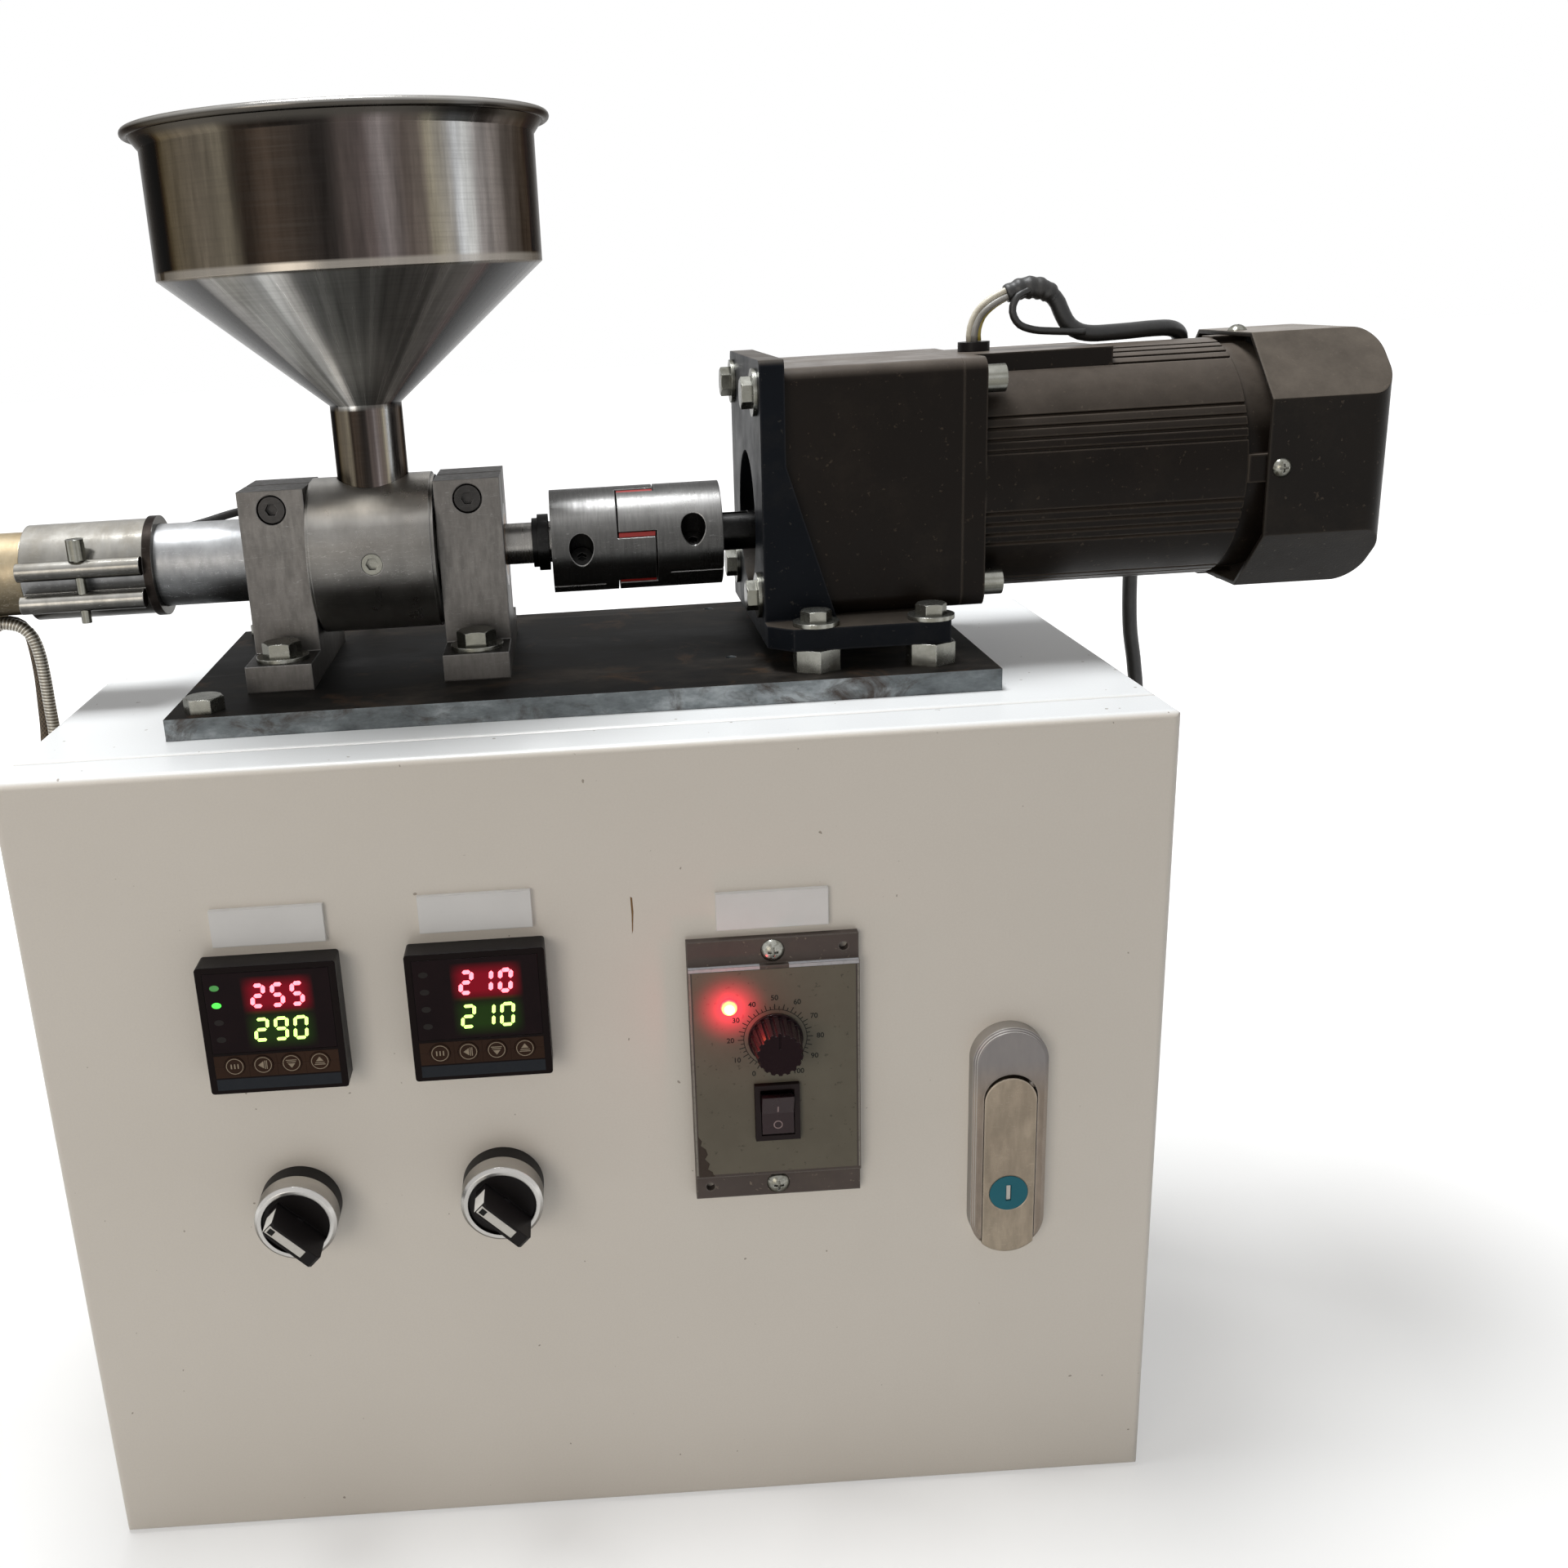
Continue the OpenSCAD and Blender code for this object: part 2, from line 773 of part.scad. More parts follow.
// Each gland's place: the wall point, the turn that takes +Z to its way out, and its bore
function last(route) = route[len(route) - 1];
lead_seat_share = 0.75;
gland_places = [
    [[-cab_w / 2, last(nozzle_route)[1], last(nozzle_route)[2]], [0, -90, 0], nozzle_lead_r * lead_seat_share],
    [[-cab_w / 2, last(sensor_route)[1], last(sensor_route)[2]], [0, -90, 0], sensor_lead_r * lead_seat_share],
    [[cab_w / 2, last(motor_route)[1], last(motor_route)[2]], [0, 90, 0], motor_lead_r * lead_seat_share],
    [[last(heater_route)[0], back, last(heater_route)[2]], [-90, 0, 0], heater_lead_r * lead_seat_share],
    [[power_x, back, power_z], [-90, 0, 0], power_cord_r]];

module at_glands() {
    for (g = gland_places) translate(g[0]) rotate(g[1]) {
        $bore = g[2];
        children();
    }
}

module cable_glands() color("#222222") {
    at_glands() difference() {
        union() {
            translate([0, 0, -gland_thread_l]) cylinder(h = gland_thread_l + over, r = gland_thread_r);
            hexagon(gland_hex_af, gland_hex_l);
            translate([0, 0, gland_hex_l])
                cylinder(h = gland_dome_l / 2, r = gland_dome_r);
            translate([0, 0, gland_hex_l + gland_dome_l / 2])
                cylinder(h = gland_dome_l / 2, r1 = gland_dome_r, r2 = gland_mouth_r);
        }
        translate([0, 0, -gland_thread_l - over])
            cylinder(h = gland_thread_l + gland_out + 2 * over, r = $bore);
    }
    translate([grommet_x, axis_y, gear_z + motor_d / 2]) difference() {
        cylinder(h = grommet_h, r = grommet_r);
        translate([0, 0, -over]) cylinder(h = grommet_h + 2 * over, r = motor_lead_r / 2);
    }
}

module hinge_pins() color("silver") {
    for (z = [hinge_inset, cab_h - hinge_inset - 2 * knuckle_h])
        translate([hinge_x, hinge_y, z]) cylinder(h = 2 * knuckle_h - run, r = hinge_pin_r);
}

module door() color("whitesmoke") {
    difference() {
        union() {
            difference() {
                cabinet_block(front, door_back + 2 * fold_r);
                translate([-cab_w / 2 + sheet, front + sheet, sheet])
                    cube([cab_w - 2 * sheet, 2 * door_depth, cab_h - 2 * sheet]);
                translate([-cab_w / 2 - over, door_back, -over])
                    cube([cab_w + 2 * over, door_depth, cab_h + 2 * over]);
            }
            for (z = [hinge_inset, cab_h - hinge_inset - 2 * knuckle_h]) door_knuckle(z + knuckle_h);
        }
        for (x = ctrl_x) translate([x - ctrl_body / 2 - slip, front - over, ctrl_z - ctrl_body / 2 - slip])
            cube([ctrl_body + 2 * slip, sheet + 2 * over, ctrl_body + 2 * slip]);
        for (i = [0, 1]) translate([sel_x[i], front - over, sel_z[i]])
            ycyl(sel_thread_r + fit, sheet + 2 * over);
        translate([speed_x - speed_body_w / 2 - slip, front - over, speed_z - speed_body_h / 2 - slip])
            cube([speed_body_w + 2 * slip, sheet + 2 * over, speed_body_h + 2 * slip]);
        for (s = [-1, 1]) translate([speed_x, front - over, speed_z + s * (speed_h - speed_flange) / 2])
            ycyl(panel_thread_r + fit, sheet + 2 * over);
        translate([lock_x, front - over, cam_z]) ycyl(lock_door_r, sheet + 2 * over);
    }
}

// Knuckle welded inside the tray, standing on the cabinet's ear
module door_knuckle(z) {
    gap = air;
    difference() {
        union() {
            translate([hinge_x, hinge_y, z + gap]) cylinder(h = knuckle_h - gap, r = knuckle_r);
            translate([hinge_x - knuckle_r, front + sheet / 2, z + gap])
                cube([2 * knuckle_r, hinge_y - front - sheet / 2, knuckle_h - gap]);
        }
        translate([hinge_x, hinge_y, z - over]) cylinder(h = knuckle_h + 2 * over, r = hinge_pin_r + run);
    }
}

module door_gasket() color("#2b2b2b") {
    seat = front + sheet;
    t = body_front - lip_l - air - seat;
    w = 4 * sheet;
    translate([0, seat, 0]) difference() {
        translate([-open_x - w, 0, open_z - w]) cube([2 * (open_x + w), t, cab_h - 2 * open_z + 2 * w]);
        translate([-open_x + w / 2, -over, open_z + w / 2])
            cube([2 * open_x - w, t + 2 * over, cab_h - 2 * open_z - w]);
    }
}

module label_plates() color("white") {
    for (i = [0:2]) translate([label_x[i] - label_w / 2, front - label_t, label_z[i] - label_h / 2])
        cube([label_w, label_t, label_h]);
}

// Places of the four keys on a controller, from its lower left corner
function key_x(i) = ctrl_w * (key_first_share + i * key_pitch_share) - ctrl_w / 2;
key_up = ctrl_w / 2 - ctrl_w * key_row_share;

module temp_controllers() color("#1d1b1d") {
    face = front - ctrl_out;
    win_h = ctrl_w * window_h_share;
    for (x = ctrl_x) translate([x, 0, ctrl_z]) difference() {
        union() {
            translate([0, front, 0]) rotate([90, 0, 0]) linear_extrude(ctrl_out)
                round_rect(ctrl_w, ctrl_w, ctrl_lip);
            translate([-ctrl_body / 2, front - over, -ctrl_body / 2])
                cube([ctrl_body, ctrl_deep + over, ctrl_body]);
        }
        translate([-ctrl_w / 2 + window_side, face - over, ctrl_w / 2 - window_top - win_h])
            cube([ctrl_w - 2 * window_side, over + window_t, win_h]);
        for (i = [0:3]) translate([key_x(i), face - over, key_up])
            ycyl(key_r + slip, over + key_l + key_travel - key_proud + slip);
    }
}

module display_windows() color("#3a1416") {
    win_h = ctrl_w * window_h_share;
    for (x = ctrl_x) translate([x - ctrl_w / 2 + window_side + fit, front - ctrl_out,
        ctrl_z + ctrl_w / 2 - window_top - win_h + fit])
        cube([ctrl_w - 2 * window_side - 2 * fit, window_t, win_h - 2 * fit]);
}

module panel_key(controller, i) {
    color("#4a3527") translate([ctrl_x[controller] + key_x(i), front - ctrl_out - key_proud, ctrl_z + key_up])
        ycyl(key_r, key_l);
}

module selector_bodies() color("silver") {
    for (i = [0, 1]) translate([sel_x[i], front, sel_z[i]]) {
        difference() {
            union() {
                translate([0, -sel_gasket_t, 0]) ycyl(sel_gasket_r, sel_gasket_t);
                translate([0, -sel_gasket_t - sel_h + sel_round, 0]) ycyl(sel_d / 2, sel_h - sel_round);
                translate([0, -sel_gasket_t - sel_h, 0]) along_y()
                    cylinder(h = sel_round, r1 = sel_d / 2 - sel_round, r2 = sel_d / 2);
                translate([0, -over, 0]) ycyl(sel_thread_r, sheet + sel_nut_t + over);
                translate([0, sheet, 0]) ycyl(sel_nut_r, sel_nut_t);
                translate([-sel_block / 2, sheet + sel_nut_t, -sel_block / 2])
                    cube([sel_block, sel_block_l, sel_block]);
            }
            translate([0, -sel_gasket_t - sel_h - over, 0]) ycyl(sel_seat_r + slip, sel_seat_deep + over);
            translate([0, -sel_gasket_t - sel_h - over, 0]) ycyl(pot_r + run, sel_h + over);
        }
    }
}

// Lever knob that points to its set mark, drawn pointing up and turned by the given angle
module selector_knob(i, turn = -45) {
    seat = -sel_gasket_t - sel_h;
    top = lever_h - sel_seat_deep;
    color("#161616") translate([sel_x[i], front, sel_z[i]]) rotate([0, turn, 0]) difference() {
        union() {
            translate([0, seat + sel_seat_deep / 4, 0]) ycyl(sel_seat_r, sel_seat_deep * 3 / 4 - slip);
            translate([0, seat, 0]) ycyl(pot_r, sel_h - slip);
            translate([-lever_w / 2, seat, -lever_tip]) rotate([90, 0, 90])
                linear_extrude(lever_w) polygon([[sel_seat_deep / 2, 0], [sel_seat_deep / 2, lever_l],
                    [lever_nose - top, lever_l], [-top, lever_l - lever_nose], [-top, lever_nose],
                    [lever_nose - top, 0]]);
        }
        translate([-pointer_w / 2, seat - top - over, lever_l - lever_tip - pointer_l])
            cube([pointer_w, pointer_deep + over, lever_l]);
    }
}

module speed_controller() color("#8d918a") {
    translate([speed_x, front, speed_z]) difference() {
        union() {
            translate([-speed_w / 2, -speed_flange_t, -speed_h / 2]) cube([speed_w, speed_flange_t, speed_h]);
            translate([-speed_w / 2, -speed_out, -speed_h / 2 + speed_flange])
                cube([speed_w, speed_out, speed_h - 2 * speed_flange]);
            translate([-speed_body_w / 2, -over, -speed_body_h / 2])
                cube([speed_body_w, speed_deep + over, speed_body_h]);
        }
        for (s = [-1, 1]) {
            translate([0, -speed_flange_t - over, s * (speed_h - speed_flange) / 2])
                ycyl(panel_hole_r, speed_flange_t + 2 * over);
            translate([s * corner_hole_x, -speed_flange_t - over, s * (speed_h - speed_flange) / 2])
                ycyl(corner_hole_r, speed_flange_t + 2 * over);
        }
        translate([0, -speed_out - over, dial_z - speed_z]) ycyl(pot_r + run, speed_out + 3 * over);
        translate([-rocker_w / 2 + rocker_rim / 2, -speed_out - over, rocker_z - speed_z - rocker_h / 2 + rocker_rim / 2])
            cube([rocker_w - rocker_rim, rocker_deep + over, rocker_h - rocker_rim]);
        translate([lamp_x - speed_x, -speed_out - over, lamp_z - speed_z]) ycyl(lamp_r + fit, speed_out + over);
    }
}

module speed_knob() color("#151515") {
    face = front - speed_out - air;
    translate([speed_x, face, dial_z]) {
        difference() {
            union() {
                translate([0, -speed_skirt_h, 0]) ycyl(speed_skirt_r, speed_skirt_h);
                translate([0, -speed_knob_h, 0]) along_y() difference() {
                    cylinder(h = speed_knob_h, r1 = speed_knob_front_r, r2 = speed_knob_r);
                    for (k = [0:flutes - 1]) rotate(360 * k / flutes) translate([speed_knob_front_r, 0, 0])
                        rotate([0, atan((speed_knob_r - speed_knob_front_r) / speed_knob_h), 0])
                        translate([0, 0, -flute_r]) cylinder(h = speed_knob_h + 2 * flute_r, r = flute_r);
                }
            }
            translate([-flute_r / 2, -speed_knob_h - over, speed_knob_r / 4])
                cube([flute_r, pointer_deep + over, speed_knob_r]);
        }
        translate([0, -over, 0]) ycyl(pot_r, speed_out + 2 * over + air);
    }
}

module rocker_frame() color("#141414") {
    w = rocker_w - rocker_rim - 2 * fit;
    h = rocker_h - rocker_rim - 2 * fit;
    translate([speed_x, front - speed_out, rocker_z]) {
        difference() {
            union() {
                translate([-rocker_w / 2, -rocker_out, -rocker_h / 2]) cube([rocker_w, rocker_out, rocker_h]);
                translate([-w / 2, -over, -h / 2]) cube([w, rocker_deep - over, h]);
            }
            translate([-rocker_w / 2 + rocker_rim, -rocker_out - over, -rocker_h / 2 + rocker_rim])
                cube([rocker_w - 2 * rocker_rim, rocker_deep - 2 * rocker_rim, rocker_h - 2 * rocker_rim]);
        }
        translate([-w / 2, paddle_proud - rocker_out, 0]) xcyl(rocker_pin_r, w);
    }
}

// Rocker paddle: two faces that meet at a shallow angle over its pivot
module rocker_switch() color("#1b1416") {
    rise = paddle_h / 2 * tan(paddle_tilt);
    translate([speed_x - paddle_w / 2, front - speed_out - rocker_out + paddle_proud, rocker_z])
        rotate([paddle_tilt, 0, 0]) rotate([90, 0, 90]) linear_extrude(paddle_w) difference() {
            polygon([[-paddle_proud - rise, -paddle_h / 2], [-paddle_proud, 0], [-paddle_proud - rise, paddle_h / 2],
            [paddle_proud, paddle_h / 2 - rise], [paddle_back - paddle_proud, paddle_h / 5],
            [paddle_back - paddle_proud, -paddle_h / 5], [paddle_proud, -paddle_h / 2 + rise]]);
            circle(rocker_pin_r + run);
        }
}

module power_lamp() color("red") {
    translate([lamp_x, front - speed_out, lamp_z]) {
        translate([0, -lamp_out + lamp_r, 0]) sphere(lamp_r);
        translate([0, -lamp_out + lamp_r, 0]) ycyl(lamp_r, speed_out - lamp_r + lamp_out);
    }
}

// Domed screws with a cross recess
module dome_screw(r, h, thread_r, thread_l) {
    ball = (r * r + h * h) / (2 * h);
    difference() {
        union() {
            intersection() {
                translate([0, 0, h - ball]) sphere(ball);
                cylinder(h = h, r = r);
            }
            translate([0, 0, -thread_l]) cylinder(h = thread_l + h / 4, r = thread_r);
        }
        for (a = [0, 90]) rotate(a) translate([-r * 0.45, -r * 0.11, h * 0.4])
            cube([r * 0.9, r * 0.22, h]);
    }
}

module panel_screws() color("silver") {
    for (s = [-1, 1]) translate([speed_x, front - speed_flange_t, speed_z + s * (speed_h - speed_flange) / 2])
        rotate([90, 0, 0]) dome_screw(panel_screw_r, panel_screw_h, panel_thread_r, panel_thread_l);
}

module lock_escutcheon() color("silver") {
    bottom = lock_z - lock_h / 2;
    top = bottom + lock_h * handle_top_share;
    r = handle_w / 2 + handle_gap;
    difference() {
        union() {
            translate([lock_x, front, lock_z]) stadium(lock_w, lock_h, lock_t - lock_edge);
            translate([lock_x, front - lock_t + lock_edge, lock_z])
                stadium(lock_w - lock_edge, lock_h - lock_edge, lock_edge / 2);
            translate([lock_x, front - lock_t + lock_edge, lock_z])
                stadium(lock_w - 2 * lock_edge, lock_h - 2 * lock_edge, lock_edge);
        }
        translate([lock_x, front + over, top - r]) rotate([90, 0, 0]) cylinder(h = lock_t + 2 * over, r = r);
        translate([lock_x - r, front - lock_t - over, bottom - over])
            cube([2 * r, lock_t + 2 * over, top - r - bottom + over]);
    }
    translate([lock_x - lock_w / 2 + lock_edge, pivot_y, pivot_z])
        xcyl(pivot_r, lock_w - 2 * lock_edge);
    difference() {
        translate([lock_x, front - handle_gap, cam_z]) ycyl(lock_tube_r, cam_y - air - front + handle_gap);
        translate([lock_x, front + sheet, cam_z]) ycyl(spindle_r + run, cam_y - front);
    }
    translate([lock_x, front, cam_z]) rotate([90, 0, 0]) linear_extrude(handle_gap) round_rect(lock_w - 2 * lock_edge,
        2 * lock_tube_r, lock_edge);
}

// Handle that lies in the escutcheon and swings out at its lower end
module lock_handle() color("lightsteelblue") {
    bottom = lock_z - lock_h / 2;
    top = bottom + lock_h * handle_top_share;
    r = handle_w / 2;
    back_y = front - 2 * handle_gap;
    t = lock_t - 2 * handle_gap;
    difference() {
        intersection() {
            union() {
                translate([lock_x, back_y, top - r - handle_top_gap]) rotate([90, 0, 0]) cylinder(h = t, r = r);
                translate([lock_x - r, back_y - t, bottom - over])
                    cube([2 * r, t, top - r - bottom + over - handle_top_gap]);
            }
            translate([lock_x, front, lock_z]) stadium(lock_w, lock_h, 2 * lock_t);
        }
        translate([lock_x - lock_w / 2, pivot_y, pivot_z]) xcyl(pivot_r + run, lock_w);
        translate([lock_x - lock_w, pivot_y, pivot_z]) rotate([heel_angle, 0, 0])
            translate([0, lock_t / 2 - handle_gap * 2, -lock_t / 8]) cube([2 * lock_w, lock_h, lock_h]);
        translate([lock_x, back_y - t - over, cylinder_z]) ycyl(cylinder_r + run, t + 2 * over);
    }
}

module lock_cylinder() color("#23707f") {
    t = lock_t - 3 * handle_gap;
    face = front - lock_t - handle_gap / 2;
    translate([lock_x, face, cylinder_z]) difference() {
        ycyl(cylinder_r, t);
        translate([-slot_w / 2, -over, -slot_h / 2]) cube([slot_w, slot_deep + over, slot_h]);
    }
}

// Tongue on the lock's spindle, hanging free of the rim
module lock_cam() color("silver") {
    translate([lock_x, 0, cam_z]) {
        translate([0, front + sheet + over, 0]) ycyl(spindle_r, cam_y - front - sheet);
        translate([0, cam_y, 0]) ycyl(cam_w / 2, cam_t);
        translate([-cam_w / 2, cam_y, -cam_l]) cube([cam_w, cam_t, cam_l]);
    }
}

// Bolt places on the base plate
function plate_bolt_places() = [for (s = [0, 1])
    [-plate_l / 2 + corner_x, plate_y0 + corner_y + s * (plate_w - 2 * corner_y)]];
function block_bolt_places() = [for (x = [block_l_x, block_r_x], s = [-1, 1])
    [x + block_t / 2, axis_y + s * (block_depth / 2 + block_bolt_out)]];
function foot_bolt_places() = [for (i = [0, 1], s = [-1, 1])
    [gear_x + foot_bolt_x + i * foot_bolt_pitch, axis_y + s * (gear_w / 2 + foot_bolt_out)]];
function case_bolt_places() = [for (y = [-1, 1], z = [-1, 1]) [axis_y + y * case_bolt, gear_z + z * case_bolt]];

module base_plate() color("#45403c") {
    spare = [[bracket_x - coup_gap, -plate_w * 0.21], [bracket_x - coup_gap, plate_w * 0.42],
        [gear_x + gear_l * 0.72, plate_w * 0.27]];
    difference() {
        translate([-plate_l / 2, plate_y0, cab_h]) cube([plate_l, plate_w, plate_t]);
        for (p = plate_bolt_places()) translate([p[0], p[1], cab_h - over])
            cylinder(h = plate_t + 2 * over, r = m8_r + hole_slack);
        for (p = block_bolt_places()) translate([p[0], p[1], cab_h - over])
            cylinder(h = plate_t + 2 * over, r = m8_r + fit);
        for (p = foot_bolt_places()) translate([p[0], p[1], cab_h - over])
            cylinder(h = plate_t + 2 * over, r = m6_r + hole_slack);
        for (p = spare) translate([p[0], axis_y + p[1], cab_h - over])
            cylinder(h = plate_t + 2 * over, r = spare_hole_r);
    }
}

module hex_bolts() color("silver") {
    under = plate_t + sheet + m8_nut_h + bolt_tail;
    for (p = plate_bolt_places()) translate([p[0], p[1], plate_z]) hex_bolt(m8_af, m8_head_h, m8_r, under);
    for (p = block_bolt_places()) translate([p[0], p[1], plate_z + block_foot_h + washer_t])
        hex_bolt(m8_af, m8_head_h, m8_r, washer_t + block_foot_h + plate_t);
    for (p = foot_bolt_places()) translate([p[0], p[1], foot_z + foot_t + washer_t])
        hex_bolt(m6_af, m6_head_h, m6_r,
            washer_t + foot_t + spacer_h + plate_t + sheet + m6_nut_h + bolt_tail);
    for (p = case_bolt_places()) translate([bracket_x - washer_t, p[0], p[1]]) rotate([0, -90, 0])
        hex_bolt(m6_af, m6_head_h, m6_r, washer_t + bracket_t + case_front * 2 / 3);
}

module small_fasteners() color("silver") {
    for (p = plate_bolt_places()) translate([p[0], p[1], cab_h - sheet - m8_nut_h])
        nut(m8_af, m8_nut_h, m8_r + fit);
    for (p = block_bolt_places()) translate([p[0], p[1], plate_z + block_foot_h])
        washer(m8_washer_r, m8_r + hole_slack, washer_t);
    for (p = foot_bolt_places()) {
        translate([p[0], p[1], cab_h - sheet - m6_nut_h]) nut(m6_af, m6_nut_h, m6_r + fit);
        translate([p[0], p[1], plate_z]) rotate(30) nut(spacer_af, spacer_h, spacer_hole_r);
        translate([p[0], p[1], foot_z + foot_t]) washer(m6_washer_r, m6_r + hole_slack, washer_t);
    }
    for (p = case_bolt_places()) {
        translate([bracket_x - washer_t, p[0], p[1]]) along_x()
            washer(m6_washer_r, m6_r + hole_slack, washer_t);
        translate([body_x + long_screw_head, p[0], p[1]]) rotate([0, -90, 0])
            cap_screw(cap_head_r, long_screw_head, m6_r, flange_t + case_front, hex_socket_r);
    }
    for (x = [block_l_x, block_r_x]) translate([x + block_t / 2, axis_y - block_depth / 2 + cap_sink, cap_z])
        along_y() cap_screw(cap_head_r, cap_head_l, m6_r, block_depth - cap_head_l - 2 * cap_sink, hex_socket_r);
    translate([feed_x + feed_l / 2, axis_y - feed_d / 2 + cap_sink, axis_z])
        along_y() cap_screw(set_r, set_l, set_r, 0, hex_socket_r);
    translate([band_x + band_l / 2, lip_y, lip_z[0] + lip_r]) {
        cylinder(h = band_nut_h, r = band_nut_r);
        translate([0, 0, lip_z[1] - lip_z[0] - 2 * lip_r - band_tail / 2])
            cylinder(h = lip_z[0] - lip_z[1] + 2 * lip_r + band_tail, r = band_screw_r);
    }
    for (x = [-1, 1], z = [-1, 1]) translate([x * (cab_w / 2 - stud_x_inset),
        back - sheet - stand_l - inner_plate_t, cab_h / 2 + z * (cab_h / 2 - stud_z_inset)])
        rotate([90, 0, 0]) nut(m6_af, m6_nut_h, stud_r + fit);
    at_cover_screws() dome_screw(cover_screw_r, cover_screw_h, m6_r / 2, cover_t + 3 * over);
}

cap_z = axis_z + barrel_d / 2 + cap_rise;

module bearing_blocks() color("gray") {
    for (x = [block_l_x, block_r_x]) translate([x, axis_y, plate_z]) difference() {
        union() {
            translate([0, -block_depth / 2 - block_foot_out, 0])
                cube([block_t, block_depth + 2 * block_foot_out, block_foot_h]);
            translate([0, -block_depth / 2, 0]) cube([block_t, block_depth, axis_rise + block_rise]);
        }
        translate([-over, 0, axis_rise]) xcyl(barrel_d / 2 + run, block_t + 2 * over);
        translate([-over, -slit_block / 2, axis_rise]) cube([block_t + 2 * over, slit_block, block_rise + over]);
        for (s = [-1, 1]) translate([block_t / 2, s * (block_depth / 2 + block_bolt_out), -over])
            cylinder(h = block_foot_h + 2 * over, r = m8_r + hole_slack);
        translate([block_t / 2, -block_depth / 2 - over, cap_z - plate_z]) {
            ycyl(m6_r + fit, block_depth + 2 * over);
            ycyl(cap_bore_r, cap_bore_deep + over);
        }
    }
}

module feed_housing() color("darkgray") {
    l = feed_l - housing_gap;
    throat_z = feed_d / 2 - port_depth;
    translate([feed_x, axis_y, axis_z]) difference() {
        union() {
            xcyl(feed_d / 2 - lip_w, l);
            translate([lip_w, 0, 0]) xcyl(feed_d / 2, l - 2 * lip_w);
            xcyl(barrel_d / 2 - run, feed_l + block_t);
        }
        translate([-over, 0, 0]) xcyl(barrel_d / 2 + run, socket_l + over);
        xcyl(bore_d / 2 + flight_gap, feed_l);
        translate([feed_l - over, 0, 0]) xcyl(shaft_d / 2 + bush_t + run, block_t + 2 * over);
        translate([feed_l / 2, 0, 0]) cylinder(h = feed_d, r = throat_r);
        translate([feed_l / 2, 0, throat_z]) cylinder(h = feed_d, r = neck_d / 2 + fit);
        translate([feed_l / 2, -feed_d / 2 - over, 0]) ycyl(set_r + fit, set_l + over + cap_sink);
    }
}

module barrel() color("silver") {
    l = barrel_out + block_t + socket_l;
    translate([barrel_x, axis_y, axis_z]) difference() {
        xcyl(barrel_d / 2, l);
        translate([-over, 0, 0]) xcyl(bore_d / 2 + flight_gap, l + 2 * over);
        translate([-over, 0, 0]) xcyl(die_body_r + run, die_seat + over);
    }
}

// Band heater: a split sleeve with two rolled lips drawn together by a screw
band_x = barrel_x + band_gap;
lip_sink_share = 0.6;
lip_y = axis_y - barrel_d / 2 - band_t - lip_r * lip_sink_share;
lip_z = [for (s = [1, -1]) axis_z - band_slot_drop + s * (band_slot / 2 + lip_r)];

module band_heater() color("gainsboro") {
    r = barrel_d / 2;
    difference() {
        union() {
            translate([band_x, axis_y, axis_z]) xcyl(r + band_t, band_l);
            translate([band_x + band_l, axis_y, axis_z]) xcyl(ring_r, ring_l);
            for (z = lip_z) translate([band_x, lip_y, z]) xcyl(lip_r, band_l);
        }
        translate([band_x - over, axis_y, axis_z]) xcyl(r + run, band_l + ring_l + 2 * over);
        translate([band_x - over, lip_y - lip_r - over, axis_z - band_slot_drop - band_slot / 2])
            cube([band_l + over, r, band_slot]);
        translate([band_x + band_l / 2, lip_y, axis_z - r - band_t])
            cylinder(h = 2 * r + 2 * band_t, r = band_screw_r + fit);
    }
}

module nozzle_heater() color("#a8864c") {
    x = barrel_x - nozzle_l;
    difference() {
        union() {
            translate([x, axis_y, axis_z]) xcyl(nozzle_r, nozzle_l);
            translate([nozzle_route[0][0] - lug_l, nozzle_route[0][1] - lug_w / 2 + lug_h / 2,
                axis_z - nozzle_r - lug_h + lug_sink]) cube([lug_l, lug_w, lug_h]);
        }
        translate([x - over, axis_y, axis_z]) xcyl(die_body_r + run, nozzle_l + 2 * over);
    }
}

module die_head() color("dimgray") {
    l = nozzle_l + die_seat;
    translate([barrel_x - nozzle_l, axis_y, axis_z]) difference() {
        union() {
            xcyl(die_body_r, l);
            translate([-hex_tip_l, 0, 0]) along_x() intersection() {
                hexagon(hex_tip_af, hex_tip_l);
                cylinder(h = hex_tip_l, r1 = hex_tip_af / 3, r2 = hex_tip_af);
            }
        }
        translate([-hex_tip_l - over, 0, 0]) xcyl(die_d / 2, l + hex_tip_l);
        translate([land_l - hex_tip_l, 0, 0]) along_x()
            cylinder(h = l + hex_tip_l - land_l + fit, r1 = die_d / 2, r2 = bore_d / 2);
    }
}

// Helical flight as one ribbon of rings along the screw
module flight(r_in, r_out, t, l, pitch) {
    n = round(l / pitch * steps_per_turn);
    rings = [for (i = [0:n]) let (a = 360 * i / steps_per_turn, x = l * i / n)
        for (q = [[x, r_in], [x, r_out], [x + t, r_out], [x + t, r_in]]) [q[0], q[1] * cos(a), q[1] * sin(a)]];
    polyhedron(points = rings, faces = concat([[3, 2, 1, 0]], [[4 * n, 4 * n + 1, 4 * n + 2, 4 * n + 3]],
        [for (i = [0:n - 1], k = [0:3]) let (a = 4 * i, m = (k + 1) % 4) [a + k, a + m, a + 4 + m, a + 4 + k]]));
}

